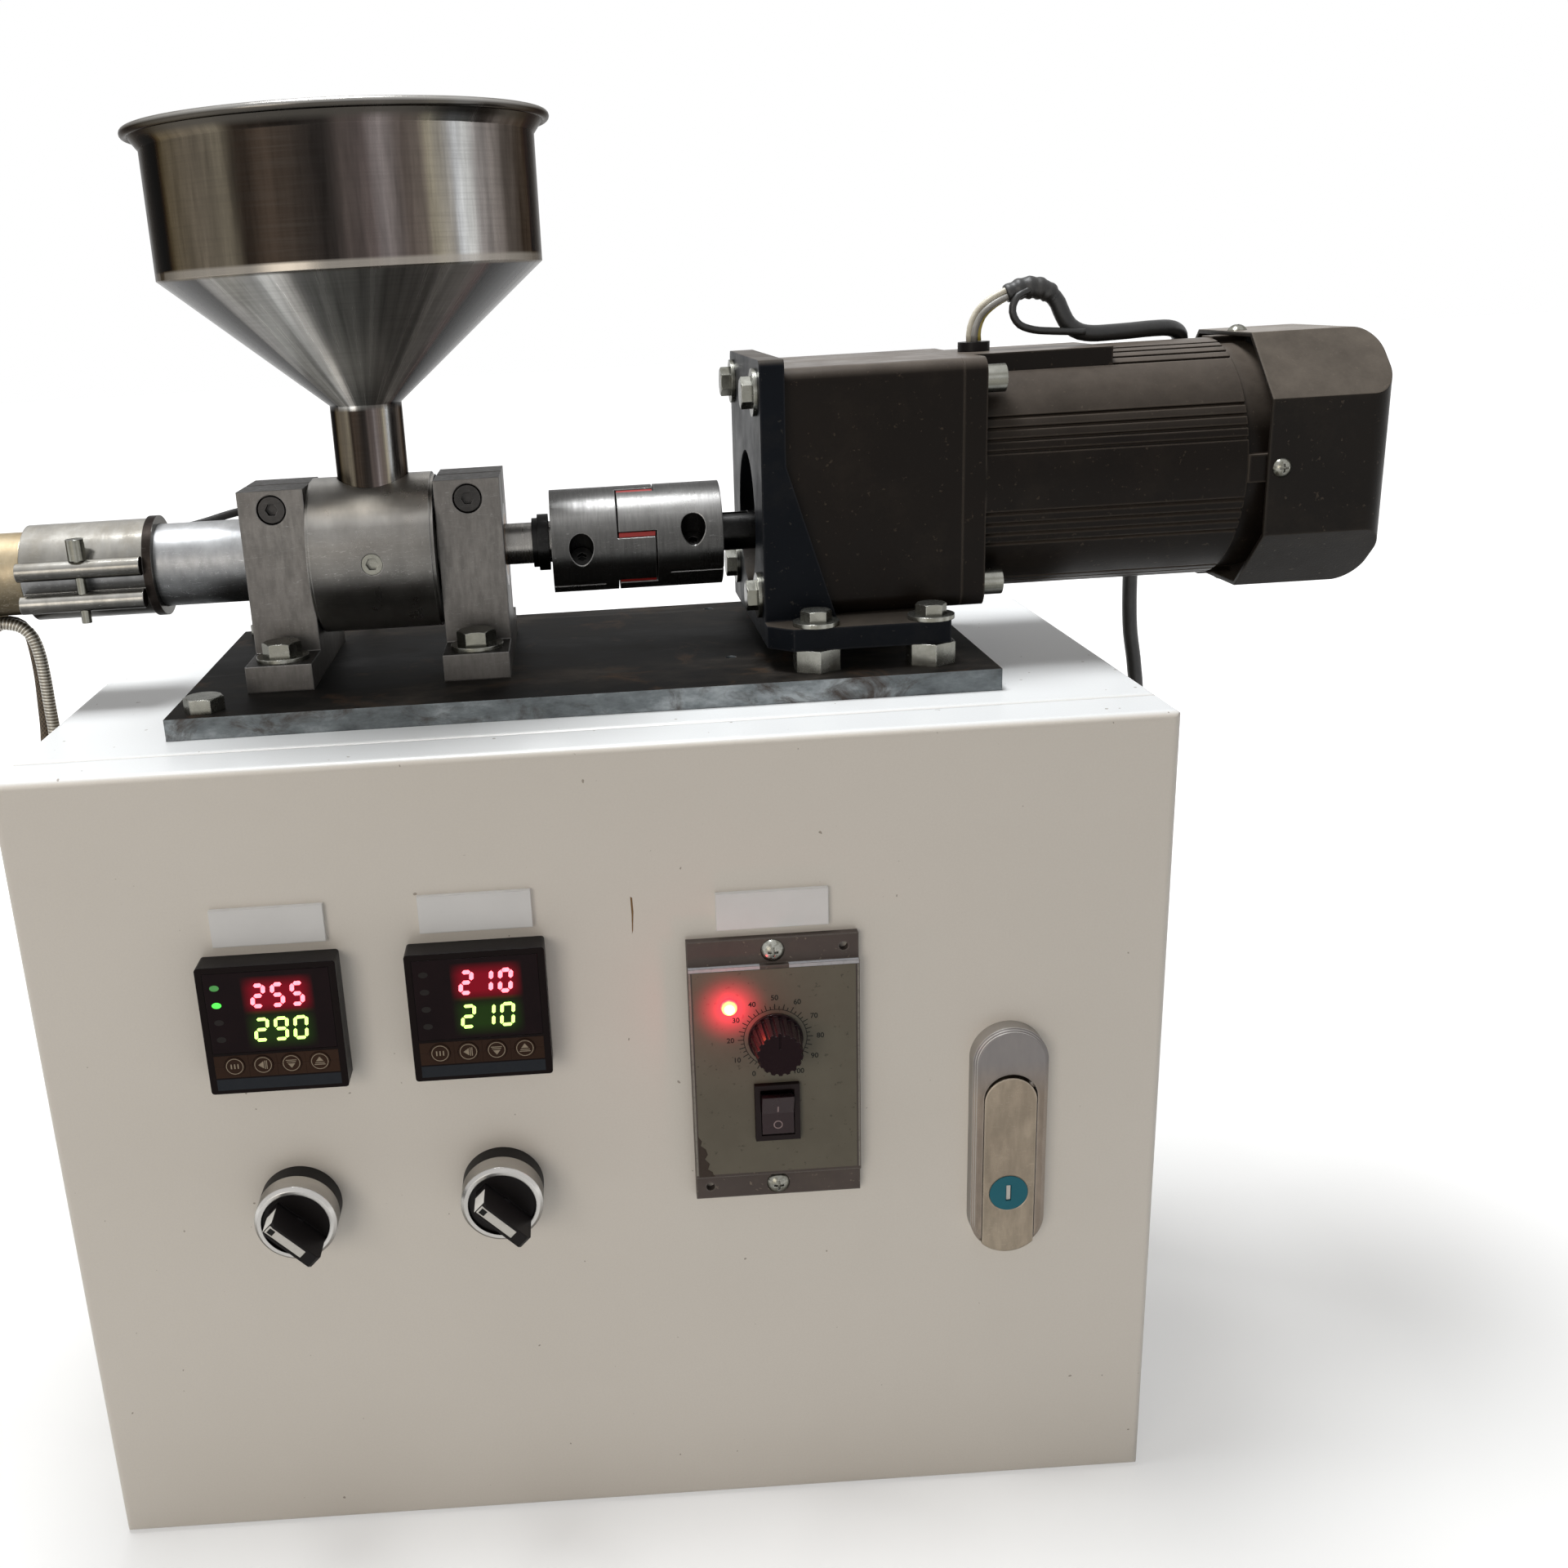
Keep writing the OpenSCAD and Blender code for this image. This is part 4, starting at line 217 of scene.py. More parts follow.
# Node helpers
class Look:
    """A procedural material: each method adds one step and gives its output socket."""

    def __init__(self, name, slot=None, **fixed):
        self.material = bpy.data.materials.new(name)
        self.material.use_nodes = True
        self.tree = self.material.node_tree
        self.shader = self.tree.nodes["Principled BSDF"]
        self.coords = self.tree.nodes.new("ShaderNodeTexCoord")
        for key, value in fixed.items():
            self.set(key.replace("_", " "), value)

    def put(self, socket, value):
        if isinstance(value, bpy.types.NodeSocket):
            self.tree.links.new(value, socket)
        elif socket.type == "RGBA" and len(value) == 3:
            socket.default_value = (*value, 1)
        else:
            socket.default_value = value

    def set(self, name, value):
        self.put(self.shader.inputs[name], value)
        return self

    def new(self, kind, inputs=(), **props):
        n = self.tree.nodes.new("ShaderNode" + kind)
        for key, value in props.items():
            setattr(n, key, value)
        for key, value in dict(inputs).items():
            self.put(n.inputs[key], value)
        return n

    def at(self, stretch=(1, 1, 1), shift=(0, 0, 0), source=None):
        vector = source or self.coords.outputs["Object"]
        return self.new("Mapping", {"Scale": stretch, "Location": shift, "Vector": vector}).outputs[0]

    def noise(self, scale, detail=4.0, rough=0.55, stretch=(1, 1, 1), shift=(0, 0, 0), warp=0.0,
              source=None):
        vector = self.at(stretch, shift, source)
        return self.new("TexNoise", {"Vector": vector, "Scale": scale, "Detail": detail, "Roughness": rough,
                                     "Distortion": warp}).outputs[0]

    def level(self, value, lo, hi, to_lo=0.0, to_hi=1.0):
        return self.new("MapRange", {"Value": value, "From Min": lo, "From Max": hi, "To Min": to_lo,
                                     "To Max": to_hi}).outputs[0]

    def math(self, kind, a, b=0.0):
        return self.new("Math", {0: a, 1: b}, operation=kind).outputs[0]

    def plus(self, a, b):
        return self.math("ADD", a, b)

    def minus(self, a, b):
        return self.math("SUBTRACT", a, b)

    def times(self, a, b):
        return self.math("MULTIPLY", a, b)

    def mix(self, share, a, b, kind="MIX"):
        return self.new("Mix", {0: share, 6: a, 7: b}, data_type="RGBA", blend_type=kind).outputs[2]

    def rough(self, source, lo, hi):
        self.set("Roughness", self.level(source, 0.3, 0.7, lo, hi))

    def ramp(self, value, *stops):
        """Each stop is its place, then a grey or red, green and blue."""
        n = self.new("ValToRGB", {0: value})
        band = n.color_ramp
        while len(band.elements) < len(stops):
            band.elements.new(0.5)
        for e, (where, *colour) in zip(band.elements, stops):
            e.position = where
            e.color = (*(colour * 3)[:3], 1)
        return n.outputs[0]

    def parts(self):
        return self.split(self.coords.outputs["Object"])

    def split(self, vector):
        return self.new("SeparateXYZ", {0: vector}).outputs

    def join(self, x, y, z=0.0):
        return self.new("CombineXYZ", {0: x, 1: y, 2: z}).outputs[0]

    def length(self, vector):
        return self.new("VectorMath", {0: vector}, operation="LENGTH").outputs["Value"]

    def facing(self):
        return self.new("NewGeometry").outputs["Normal"]

    def tone(self):
        """The colour that the shader has so far."""
        return self.shader.inputs["Base Color"].links[0].from_socket

    def soft_edge(self, radius):
        return self.new("Bevel", {"Radius": radius}, samples=4).outputs[0]

    def wear(self, radius, lo=0.02, hi=0.2):
        """1 on the solid's edges, 0 on its faces."""
        dot = self.new("VectorMath", {0: self.soft_edge(radius), 1: self.facing()},
                       operation="DOT_PRODUCT")
        return self.level(dot.outputs["Value"], 1 - lo, 1 - hi)

    def up(self):
        """The height of the surface's normal, from -1 below to 1 on top."""
        return self.split(self.facing())[2]

    def painted_room_shade(self, tint, stops):
        """The tint multiplied by a grey that follows the normal's height: painted shade and reflections of a
        room lit from above.
        """
        grey = self.ramp(self.level(self.up(), -1, 1), *[(0.5 + 0.5 * n, v) for n, v in stops])
        return self.mix(1.0, tint, grey, "MULTIPLY")

    def bump(self, height, distance, strength=1.0, normal=None):
        inputs = {"Height": height, "Distance": distance, "Strength": strength}
        if normal is not None:
            inputs["Normal"] = normal
        self.set("Normal", self.new("Bump", inputs).outputs[0])
        return self


def paint(name, colour, deep, rough, grain=2600, grain_height=0.00004, edge=0.0006, dust=None,
          top=None, worn=None, **fixed):
    """Paint or moulded plastic: faint blotches, fine grain, rounded edges and, if asked, dust."""
    m = Look(name, **fixed)
    blotch = m.noise(14, 5, 0.6)
    tint = m.mix(m.level(blotch, 0.35, 0.7), deep, colour)
    if dust:
        specks = m.level(m.noise(420, 2, 0.7), 0.66, 0.74, 0, 0.75)
        film = m.level(m.noise(32, 6, 0.7, shift=(3, 1, 2)), 0.5, 0.78, 0, 0.35)
        tint = m.mix(specks, m.mix(film, tint, dust), [min(1, 1.5 * c) for c in dust])
    if worn:
        tint = m.mix(m.level(m.wear(edge * 1.5), 0, 1, 0, 0.8), tint, worn)
    if top:
        patches = m.level(m.noise(48, 6, 0.7, shift=(2, 0, 5)), 0.3, 0.7, 0.55, 1)
        settled = m.times(m.level(m.up(), 0.3, 0.95), patches)
        tint = m.mix(settled, tint, top)
    m.set("Base Color", tint)
    m.rough(m.noise(60, 4, 0.6), rough - 0.06, rough + 0.08)
    m.bump(m.noise(grain, 2, 0.5), grain_height, 0.35, m.soft_edge(edge))
    return m


def metal(name, colour, deep, rough, lines=(1, 1, 1), fine=900, groove=0.00003, edge=0.0004,
          marks=0.5, painted_shades=None, facet_reflections=0.0, **fixed):
    """Bare metal: tool marks stretched along the given axes, stains, bright edges and scratches; if asked,
    painted shade by facing and painted reflections on flat faces.
    """
    m = Look(name, Metallic=0.9, Specular_Tint=(0.5, 0.5, 0.5), **fixed)
    stain = m.noise(26, 6, 0.65)
    streak = m.noise(fine, 3, 0.6, lines)
    tone = m.mix(m.level(stain, 0.32, 0.68), deep, colour)
    tone = m.mix(m.level(streak, 0.35, 0.65, 0, 0.45), tone, [0.45 * c for c in colour])
    scratch = m.level(m.noise(70, 2, 0.5, (1, 1, 7), warp=1.6), 0.495, 0.505, 0, 1)
    scratch = m.math("LESS_THAN", m.math("ABSOLUTE", m.minus(scratch, 0.5)), 0.3)
    scratch = m.times(scratch, marks * 0.6)
    bright = [min(1, 1.35 * c + 0.1) for c in colour]
    if facet_reflections:
        # Painted reflections: flat faces turned different ways differ in tone
        facet_reflection = m.noise(2.3, 1, 0.5, source=m.facing())
        tone = m.mix(m.level(facet_reflection, 0.42, 0.58, facet_reflections, 0), tone, deep)
    # Painted shade and highlight: the tone follows which way the face looks
    if painted_shades:
        tone = m.painted_room_shade(tone, painted_shades)
        bright = [min(1, 0.4 * c + 0.15) for c in colour]
    tone = m.mix(m.math("MAXIMUM", scratch, m.level(m.wear(edge), 0, 1, 0, 0.75)), tone, bright)
    m.set("Base Color", tone)
    uneven = m.plus(m.times(stain, 0.6), m.times(streak, 0.4))
    m.set("Roughness", m.level(uneven, 0.35, 0.65, rough - 0.08, rough + 0.1))
    m.bump(streak, groove, 0.5, m.soft_edge(edge))
    return m


def dress_each(look, *names):
    for name in names:
        dress(name, look)


def dress(node, *looks, choose=None):
    """Gives a CAD node its materials; choose picks one for each face from its centre, in millimetres."""
    mesh = nodes[node].data
    mesh.materials.clear()
    for look in looks:
        mesh.materials.append(look.material if isinstance(look, Look) else look)
    if choose:
        for poly in mesh.polygons:
            c = poly.center
            poly.material_index = choose((c.x / MM, c.y / MM, c.z / MM), poly.normal)
    else:
        mesh.polygons.foreach_set("material_index", [0] * len(mesh.polygons))


# Leads: each lies on its solid's route, which part.scad has too
motor_route = [
    (157, 15, 428), (157, 15, 432.5), (159.2, 15, 438), (164, 15, 442.2), (170.5, 15, 445.2),
    (177.5, 15, 446.6), (184, 15, 445.2), (188.3, 15, 441.3), (190.5, 15, 436.8), (193.2, 15.1, 432.4),
    (197.5, 15.4, 429.5), (203, 16.3, 428.4), (210, 18, 428.3), (219, 20.5, 428.4), (229, 23.8, 428.6),
    (238, 28, 428), (244.5, 36, 424.5), (248, 47.5, 417), (248.5, 58, 405), (246.5, 64.5, 391),
    (244, 67, 374), (242, 68, 356), (241, 68, 337), (241, 68, 318), (242, 68, 300), (244.5, 68, 284),
    (246, 68, 268), (243, 68, 254), (236, 68, 244), (227, 68, 238.6), (222, 68, 238), (218, 68, 238)]
heater_route = [
    (-161.5, 28.2, 373.4), (-158, 28.2, 373.4), (-152, 28.8, 374.4), (-146, 30, 375.6), (-140, 32, 377),
    (-134, 35, 378), (-127, 38.6, 378), (-118, 41, 376.5), (-109, 44, 372), (-102, 49, 364.5), (-97, 58, 354),
    (-94, 70, 342), (-92, 83, 331.5), (-92, 96, 322), (-92, 108, 311), (-92, 118, 298), (-92, 125, 284),
    (-92, 128.5, 272), (-92, 128.5, 264), (-92, 126, 258.5), (-92, 121.5, 256), (-92, 118, 256)]
nozzle_route = [
    (-229, 12, 342.5), (-225.5, 12, 342.5), (-220.5, 12, 341), (-216.8, 12, 337), (-215, 12, 330),
    (-214.5, 12, 320), (-214.5, 12, 308), (-214.5, 12, 296), (-215.5, 12, 284), (-218, 12, 272),
    (-223, 12, 260.5), (-229, 12, 250), (-232.5, 12, 240), (-231.5, 12, 231.5), (-227, 12, 226.5),
    (-222, 12, 225), (-218, 12, 225)]
sensor_route = [
    (-229, 18, 342.5), (-226, 18, 342.5), (-222.5, 18.2, 341), (-220.3, 18.6, 337.5), (-219.5, 19, 331),
    (-219.5, 20, 320), (-220.5, 21, 307), (-222, 22.5, 294), (-225, 24.5, 281), (-229, 27, 268),
    (-233.5, 30, 255), (-236.5, 32.5, 243), (-236, 34, 233), (-231.5, 34, 227), (-226, 34, 225),
    (-222, 34, 225), (-218, 34, 225)]


def braid(name, colour, deep, metallic, pitch, strands, rough, height):
    """Strands wound round the lead in two directions, or in one as fine rings where strands is 1."""
    m = Look(name, Metallic=metallic)
    uv = m.new("SeparateXYZ", {0: m.coords.outputs["UV"]}).outputs
    along = m.times(uv[0], 2 * math.pi / pitch)
    waves = []
    for sign in (1, -1) if strands > 1 else (1, 1):
        turn = m.times(uv[1], sign * 2 * math.pi * strands)
        waves.append(m.math("SINE", m.plus(along, turn)))
    over = m.math("MAXIMUM", waves[0], waves[1])
    lift = m.level(over, -0.3 if strands == 1 else 0.1, 1.0)
    dirt = m.noise(160, 4, 0.6)
    tone = m.mix(lift, deep, colour)
    m.set("Base Color", m.mix(m.level(dirt, 0.45, 0.75, 0, 0.5), tone, deep))
    m.rough(dirt, rough - 0.05, rough + 0.1)
    m.bump(lift, height, 0.9)
    return m.material


def sleeve(name, colour, deep, rough):
    m = Look(name)
    grain = m.noise(900, 3, 0.6)
    m.set("Base Color", m.mix(m.level(m.noise(90, 4, 0.6), 0.4, 0.7), colour, deep))
    m.rough(grain, rough - 0.08, rough + 0.08)
    m.bump(grain, 0.0001, 0.4)
    return m.material


black_sleeve = sleeve("black_sleeve", (0.008, 0.008, 0.008), (0.02, 0.019, 0.018), 0.45)
heater_sleeve = sleeve("heater_sleeve", (0.02, 0.02, 0.02), (0.05, 0.045, 0.04), 0.6)


PATH_STEP = 0.0025


def lead(name, node, route, radius, material, sides=20):
    path = smooth_path(route, PATH_STEP)
    obj = tube(name, path, radius * MM, "machine", material, sides)
    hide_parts(node)


silver_braid = braid("silver_braid", (0.62, 0.6, 0.54), (0.17, 0.15, 0.12), 0.8, 0.0013, 1, 0.34, 0.0002)
brown_weave = braid("brown_weave", (0.2, 0.15, 0.1), (0.05, 0.04, 0.03), 0.0, 0.002, 8, 0.7, 0.0002)
lead("nozzle_lead_braid", "nozzle_lead", nozzle_route, 2.4, silver_braid, 28)
lead("sensor_lead_woven", "sensor_lead", sensor_route, 2.0, brown_weave, 24)
lead("heater_lead_sleeve", "heater_lead", heater_route, 1.6, heater_sleeve)
# The motor's lead: four insulated wires in the first arch, taped together, then a black sleeve
WIRE_R, SLEEVE_R, SPARE_R = 0.00125, 0.0031, 0.0014
whole = smooth_path(motor_route, PATH_STEP)
bend = 13
arch = whole[:bend + 1]
turns = frames_along(arch)
for k, (name, colour, deep) in enumerate([("black", (0.015, 0.015, 0.015), (0.03, 0.03, 0.03)),
                                          ("white", (0.7, 0.66, 0.55), (0.42, 0.38, 0.3)),
                                          ("grey", (0.3, 0.29, 0.27), (0.2, 0.19, 0.17)),
                                          ("yellow", (0.6, 0.48, 0.1), (0.4, 0.3, 0.06))]):
    a = math.pi / 2 * k + 0.6
    path = []
    for q, (n, side) in zip(arch, turns):
        a += 0.07
        path.append(q + (n * math.cos(a) + side * math.sin(a)) * 0.0016)
    wire = tube("motor_wire_" + name, path, WIRE_R, "machine", sleeve("wire_" + name, colour, deep, 0.4), 14)
rest = whole[bend - 1:]
motor_sleeve = tube("motor_lead_sleeve", rest, SLEEVE_R, "machine", black_sleeve, 24)
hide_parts("motor_lead")


def tape():
    """Loose black tape wound round the wires where the sleeve begins, thicker in its middle."""
    path = whole[bend - 4:bend + 5]
    fine = [p.lerp(q, k / 6) for p, q in zip(path, path[1:]) for k in range(6)] + [path[-1]]
    return tube("motor_lead_tape", fine, lambda t: 0.0032 + 0.0009 * math.sin(math.pi * t)
                + 0.00022 * math.sin(31 * t), "machine", tape_look, 26)


tape_look = sleeve("cloth_tape", (0.01, 0.01, 0.01), (0.022, 0.02, 0.018), 0.5)
tape()
# The spare black wire hangs from the tape in a short loop beside the sleeve
spare = smooth_path(
    [(178, 12.2, 446.2), (172.5, 11.6, 443.6), (170.6, 11.4, 438.6), (173.2, 11.6, 433.6), (179, 12, 431.2),
    (186, 12.3, 430.3), (192.5, 12.6, 429.8), (199, 13.2, 429.3)], 0.002)
spare_wire = tube("motor_wire_spare", spare, SPARE_R, "machine", black_sleeve, 14)


# Finishes of the cabinet and the controls
white = (0.77, 0.72, 0.655)
coat = Look("powder_coat")
haze = coat.noise(4, 1.5, 0.4)
smudge = coat.level(coat.noise(9, 2, 0.4, (1, 1, 1.6), (2, 0, 1)), 0.45, 0.8, 0, 0.09)
specks = coat.level(coat.noise(330, 1, 0.5, shift=(4, 2, 7)), 0.775, 0.8, 0, 0.7)
tint = coat.mix(coat.level(haze, 0.3, 0.75), (0.74, 0.69, 0.622), white)
# Painted light: faces that look up are lighter and cooler, as under the overhead lamp
tint = coat.mix(coat.level(coat.up(), 0.5, 0.95), tint, (0.8, 0.81, 0.81))
tint = coat.mix(smudge, tint, (0.5, 0.45, 0.38))
grain = coat.level(coat.noise(1300, 2, 0.6, shift=(6, 1, 3)), 0.3, 0.7, 0, 0.09)
tint = coat.mix(grain, tint, (0.52, 0.47, 0.4))
coat.set("Base Color", coat.mix(specks, tint, (0.2, 0.15, 0.1)))
coat.rough(haze, 0.29, 0.38)
coat.bump(coat.noise(700, 3, 0.5), 0.00006, 0.25, coat.soft_edge(0.0015))
dress_each(coat, "cabinet", "door")

rubber = paint("foam_rubber", (0.03, 0.03, 0.03), (0.018, 0.018, 0.018), 0.75, 1500, 0.0002)
black_plastic = paint(
    "black_plastic", (0.009, 0.0075, 0.0075), (0.013, 0.011, 0.011), 0.36, Specular_IOR_Level=0.1)
inner_zinc = metal("zinc_sheet", (0.5, 0.5, 0.49), (0.34, 0.35, 0.35), 0.42, (1, 1, 0.05), 700)
housing_white = paint("relay_housing", (0.7, 0.68, 0.6), (0.6, 0.58, 0.5), 0.5)
dress("door_gasket", rubber)
dress("equipment_plate", inner_zinc)
dress("solid_state_relays", housing_white)
dress_each(black_plastic, "terminal_strip", "cable_glands")

acrylic = Look("frosted_acrylic", Coat_Weight=0.4, Coat_Roughness=0.25)
acrylic.set("Base Color", acrylic.mix(acrylic.noise(40, 4, 0.6), (0.66, 0.65, 0.64), (0.8, 0.79, 0.78)))
acrylic.rough(acrylic.noise(200, 3), 0.35, 0.5)
acrylic.bump(acrylic.noise(1500, 2), 0.00003, 0.4, acrylic.soft_edge(0.0005))
dress("label_plates", acrylic)

gloss = Look("gloss_face", Specular_IOR_Level=0.05)
face_dust = gloss.level(gloss.noise(500, 2, 0.7), 0.64, 0.76, 0, 0.3)
gloss.set("Base Color", gloss.mix(face_dust, (0.008, 0.0042, 0.004), (0.04, 0.028, 0.024)))
gloss.rough(gloss.noise(60, 4), 0.16, 0.28)
gloss.bump(gloss.noise(900, 2), 0.00001, 0.3, gloss.soft_edge(0.0007))
dress("temp_controllers", gloss, black_plastic,
      choose=lambda c, n: 0 if c[1] < CONTROLLER_FRONT + 0.5 else 1)
window = Look("tinted_window", Specular_IOR_Level=0.05)
window.set("Base Color", window.mix(window.noise(90, 3), (0.006, 0.003, 0.004), (0.016, 0.007, 0.008)))
window.rough(window.noise(50, 3), 0.1, 0.2)
window.bump(window.noise(300, 2), 0.00001, 0.2, window.soft_edge(0.0004))
# Painted glow: the window emits faintly round the digits behind it, red above, green below
DIGITS_X = (-0.111, -0.0395)
p = window.parts()
shares = []
for middle_z in (0.2318, 0.219):
    away = [window.math("ABSOLUTE", window.minus(p[0], x)) for x in DIGITS_X]
    beside = window.level(window.math("MINIMUM", *away), 0.0125, 0.008)
    over = window.level(window.math("ABSOLUTE", window.minus(p[2], middle_z)), 0.0075, 0.003)
    shares.append(window.times(beside, over))
red_share = window.level(p[2], 0.2245, 0.2265)
window.set("Emission Color", window.mix(red_share, (0.1, 0.5, 0.02), (1.0, 0.0, 0.04)))
painted_glow = window.math("MAXIMUM", shares[0], window.times(shares[1], 0.3))
window.set("Emission Strength", window.times(painted_glow, 0.2))
dress("display_windows", window)

key_face = paint(
    "key_face", (0.044, 0.022, 0.013), (0.032, 0.016, 0.01), 0.4, 1800, 0.00003, 0.0004,
    Specular_IOR_Level=0.06)
dress_each(key_face, *["key_%s_%d" % (key, n) for n in (1, 2) for key in ("set", "left", "down", "up")])

# The last list paints shade by which way the face looks
bezel = metal(
    "bright_bezel", (0.74, 0.72, 0.69), (0.62, 0.6, 0.57), 0.24, (0.3, 1, 0.3), 60, 0.000001, 0.0005, 0.0,
    [(-1, 0.5), (-0.3, 0.7), (0, 0.8), (0.6, 0.85), (1, 1)])

# The bezel's rear half is a black seal
seal = bezel.level(bezel.parts()[1], -0.1067, -0.1066)
bezel.set("Base Color", bezel.mix(seal, bezel.tone(), (0.009, 0.008, 0.008)))
bezel.set("Metallic", bezel.level(seal, 0, 1, 0.9, 0.0))
bezel.set("Roughness", bezel.level(seal, 0, 1, 0.24, 0.6))


def selector_part(c, n):
    """The bezel's own look in front of the door, black inside it and behind."""
    r = min(math.hypot(c[0] - x, c[2] - z) for x, z in SELECTORS)
    return 1 if c[1] > DOOR_FRONT - 1 or (r < 12.3 and c[1] > -114.8) else 0


dress("selector_bodies", bezel, black_plastic, choose=selector_part)
dress_each(black_plastic, "selector_knob_1", "selector_knob_2")

frame_grey = paint(
    "panel_frame", (0.098, 0.078, 0.07), (0.074, 0.058, 0.052), 0.45, 1500, 0.00006, 0.0006,
    (0.16, 0.13, 0.1), worn=(0.22, 0.2, 0.18), Specular_IOR_Level=0.15)
dress("speed_controller", frame_grey)
knob_black = paint(
    "knob_plastic", (0.02, 0.009, 0.011), (0.014, 0.006, 0.008), 0.24, 1500, 0.00003, 0.0003,
    Specular_IOR_Level=0.2)
knob_black.set("Specular IOR Level", knob_black.level(knob_black.up(), 0.05, 0.5, 0.05, 0.7))
dress("speed_knob", knob_black)
rocker_black = paint(
    "rocker_black", (0.014, 0.007, 0.0075), (0.01, 0.005, 0.005), 0.35, Specular_IOR_Level=0.12)
dress("rocker_frame", rocker_black)
rocker_face = paint(
    "rocker_face", (0.026, 0.013, 0.016), (0.034, 0.018, 0.02), 0.26, 1500, 0.00002, 0.0005,
    Specular_IOR_Level=0.2)
dress("rocker_switch", rocker_face)

lamp = Look("lamp_glow", Emission_Strength=9.0)
core = lamp.parts()
spot = lamp.plus(lamp.math("POWER", lamp.minus(core[0], LAMP_X * MM), 2.0),
                 lamp.math("POWER", lamp.minus(core[2], LAMP_Z * MM), 2.0))
uneven = lamp.times(lamp.noise(900, 2), 0.000002)
heat = lamp.level(lamp.plus(spot, uneven), 0.0000025, 0.0000095)
lamp.set("Base Color", (0.6, 0.05, 0.03))
lamp.set("Emission Color", lamp.ramp(heat, (0.0, 1.0, 0.72, 0.25), (0.35, 1.0, 0.22, 0.05),
                                     (1.0, 0.9, 0.01, 0.02)))
dress("power_lamp", lamp)

# Painted shade by facing, and painted reflections that differ from facet to facet
zinc = metal(
    "zinc_plate", (0.6, 0.6, 0.55), (0.17, 0.165, 0.13), 0.22, (1, 1, 1), 300, 0.00003, 0.0005, 0.5,
    [(-1, 0.35), (-0.3, 0.6), (0.2, 0.8), (0.7, 0.85), (1, 0.75)], 0.75)
dress_each(zinc, "panel_screws", "hinge_pins", "lock_cam", "hex_bolts")

nickel = metal(
    "satin_nickel", (0.24, 0.195, 0.155), (0.18, 0.145, 0.118), 0.36, (1, 1, 0.3), 300, 0.000003, 0.0012, 0.1)
# Painted highlight: its sides and rim are brighter than its face, which is darker and cooler towards the top
side = nickel.split(nickel.facing())[1]
face = nickel.mix(nickel.level(nickel.parts()[2], 0.172, 0.186, 0, 0.8), nickel.tone(), (0.165, 0.158, 0.16))
nickel.set("Base Color", nickel.mix(nickel.level(side, -0.97, -0.6), face, (0.5, 0.48, 0.46)))
dress("lock_escutcheon", nickel)
handle_nickel = metal(
    "worn_nickel", (0.3, 0.25, 0.19), (0.23, 0.185, 0.14), 0.32, (1, 1, 0.3), 260, 0.000003, 0.001, 0.4)
dress("lock_handle", handle_nickel)
teal = paint(
    "teal_enamel", (0.012, 0.15, 0.2), (0.009, 0.115, 0.155), 0.35, 1200, 0.00002, 0.0004,
    Specular_IOR_Level=0.2)
dress("lock_cylinder", teal)

# Finishes of the drive line
scale = Look("mill_scale", Specular_IOR_Level=0.03)
blot = scale.noise(17, 7, 0.65, (0.6, 1, 1))
rust = scale.level(scale.noise(34, 6, 0.7, shift=(1, 5, 2), warp=0.6), 0.56, 0.74, 0, 0.75)
scrape = scale.level(scale.noise(55, 4, 0.6, (0.12, 1, 1), (2, 2, 0)), 0.6, 0.75, 0, 0.35)
tint = scale.ramp(
    blot, (0.34, 0.001), (0.48, 0.004, 0.0036, 0.0033), (0.56, 0.013, 0.0115, 0.01),
    (0.66, 0.045, 0.038, 0.032))
tint = scale.mix(rust, tint, (0.055, 0.032, 0.018))
tint = scale.mix(scrape, tint, (0.1, 0.095, 0.09))
scale.set("Base Color", scale.mix(scale.level(scale.wear(0.0006), 0, 1, 0, 0.6), tint, (0.2, 0.18, 0.16)))
scale.rough(blot, 0.5, 0.72)
scale.bump(scale.noise(240, 5, 0.65), 0.00015, 0.4, scale.soft_edge(0.0005))
cut = Look("cut_steel", Metallic=0.4)
blue = cut.noise(30, 6, 0.7, (1, 1, 2.2))
brown = cut.level(cut.noise(44, 6, 0.7, (1, 1, 1.5), (5, 0, 0), warp=0.8), 0.5, 0.66, 0, 0.9)
tint = cut.ramp(blue, (0.32, 0.06, 0.068, 0.072), (0.5, 0.15, 0.17, 0.18), (0.66, 0.33, 0.36, 0.375))
cut.set("Base Color", cut.mix(brown, tint, (0.035, 0.022, 0.015)))
cut.rough(blue, 0.4, 0.6)
cut.bump(cut.noise(160, 5, 0.6, (1, 1, 3)), 0.0002, 0.5, cut.soft_edge(0.0006))
dress("base_plate", scale, cut, choose=lambda c, n: 1 if abs(n[2]) < 0.5 else 0)

# The last list paints shade by which way the face looks
machined = metal(
    "machined_steel", (0.15, 0.142, 0.133), (0.095, 0.088, 0.082), 0.4, (1, 1, 0.25), 500, 0.00003, 0.0007,
    0.9, [(-1, 0.5), (0, 1), (0.6, 0.9), (1, 0.55)])
turned = metal(
    "turned_steel", (0.36, 0.35, 0.335), (0.2, 0.19, 0.175), 0.3, (1, 0.04, 0.04), 1400, 0.00003, 0.0006, 0.7)
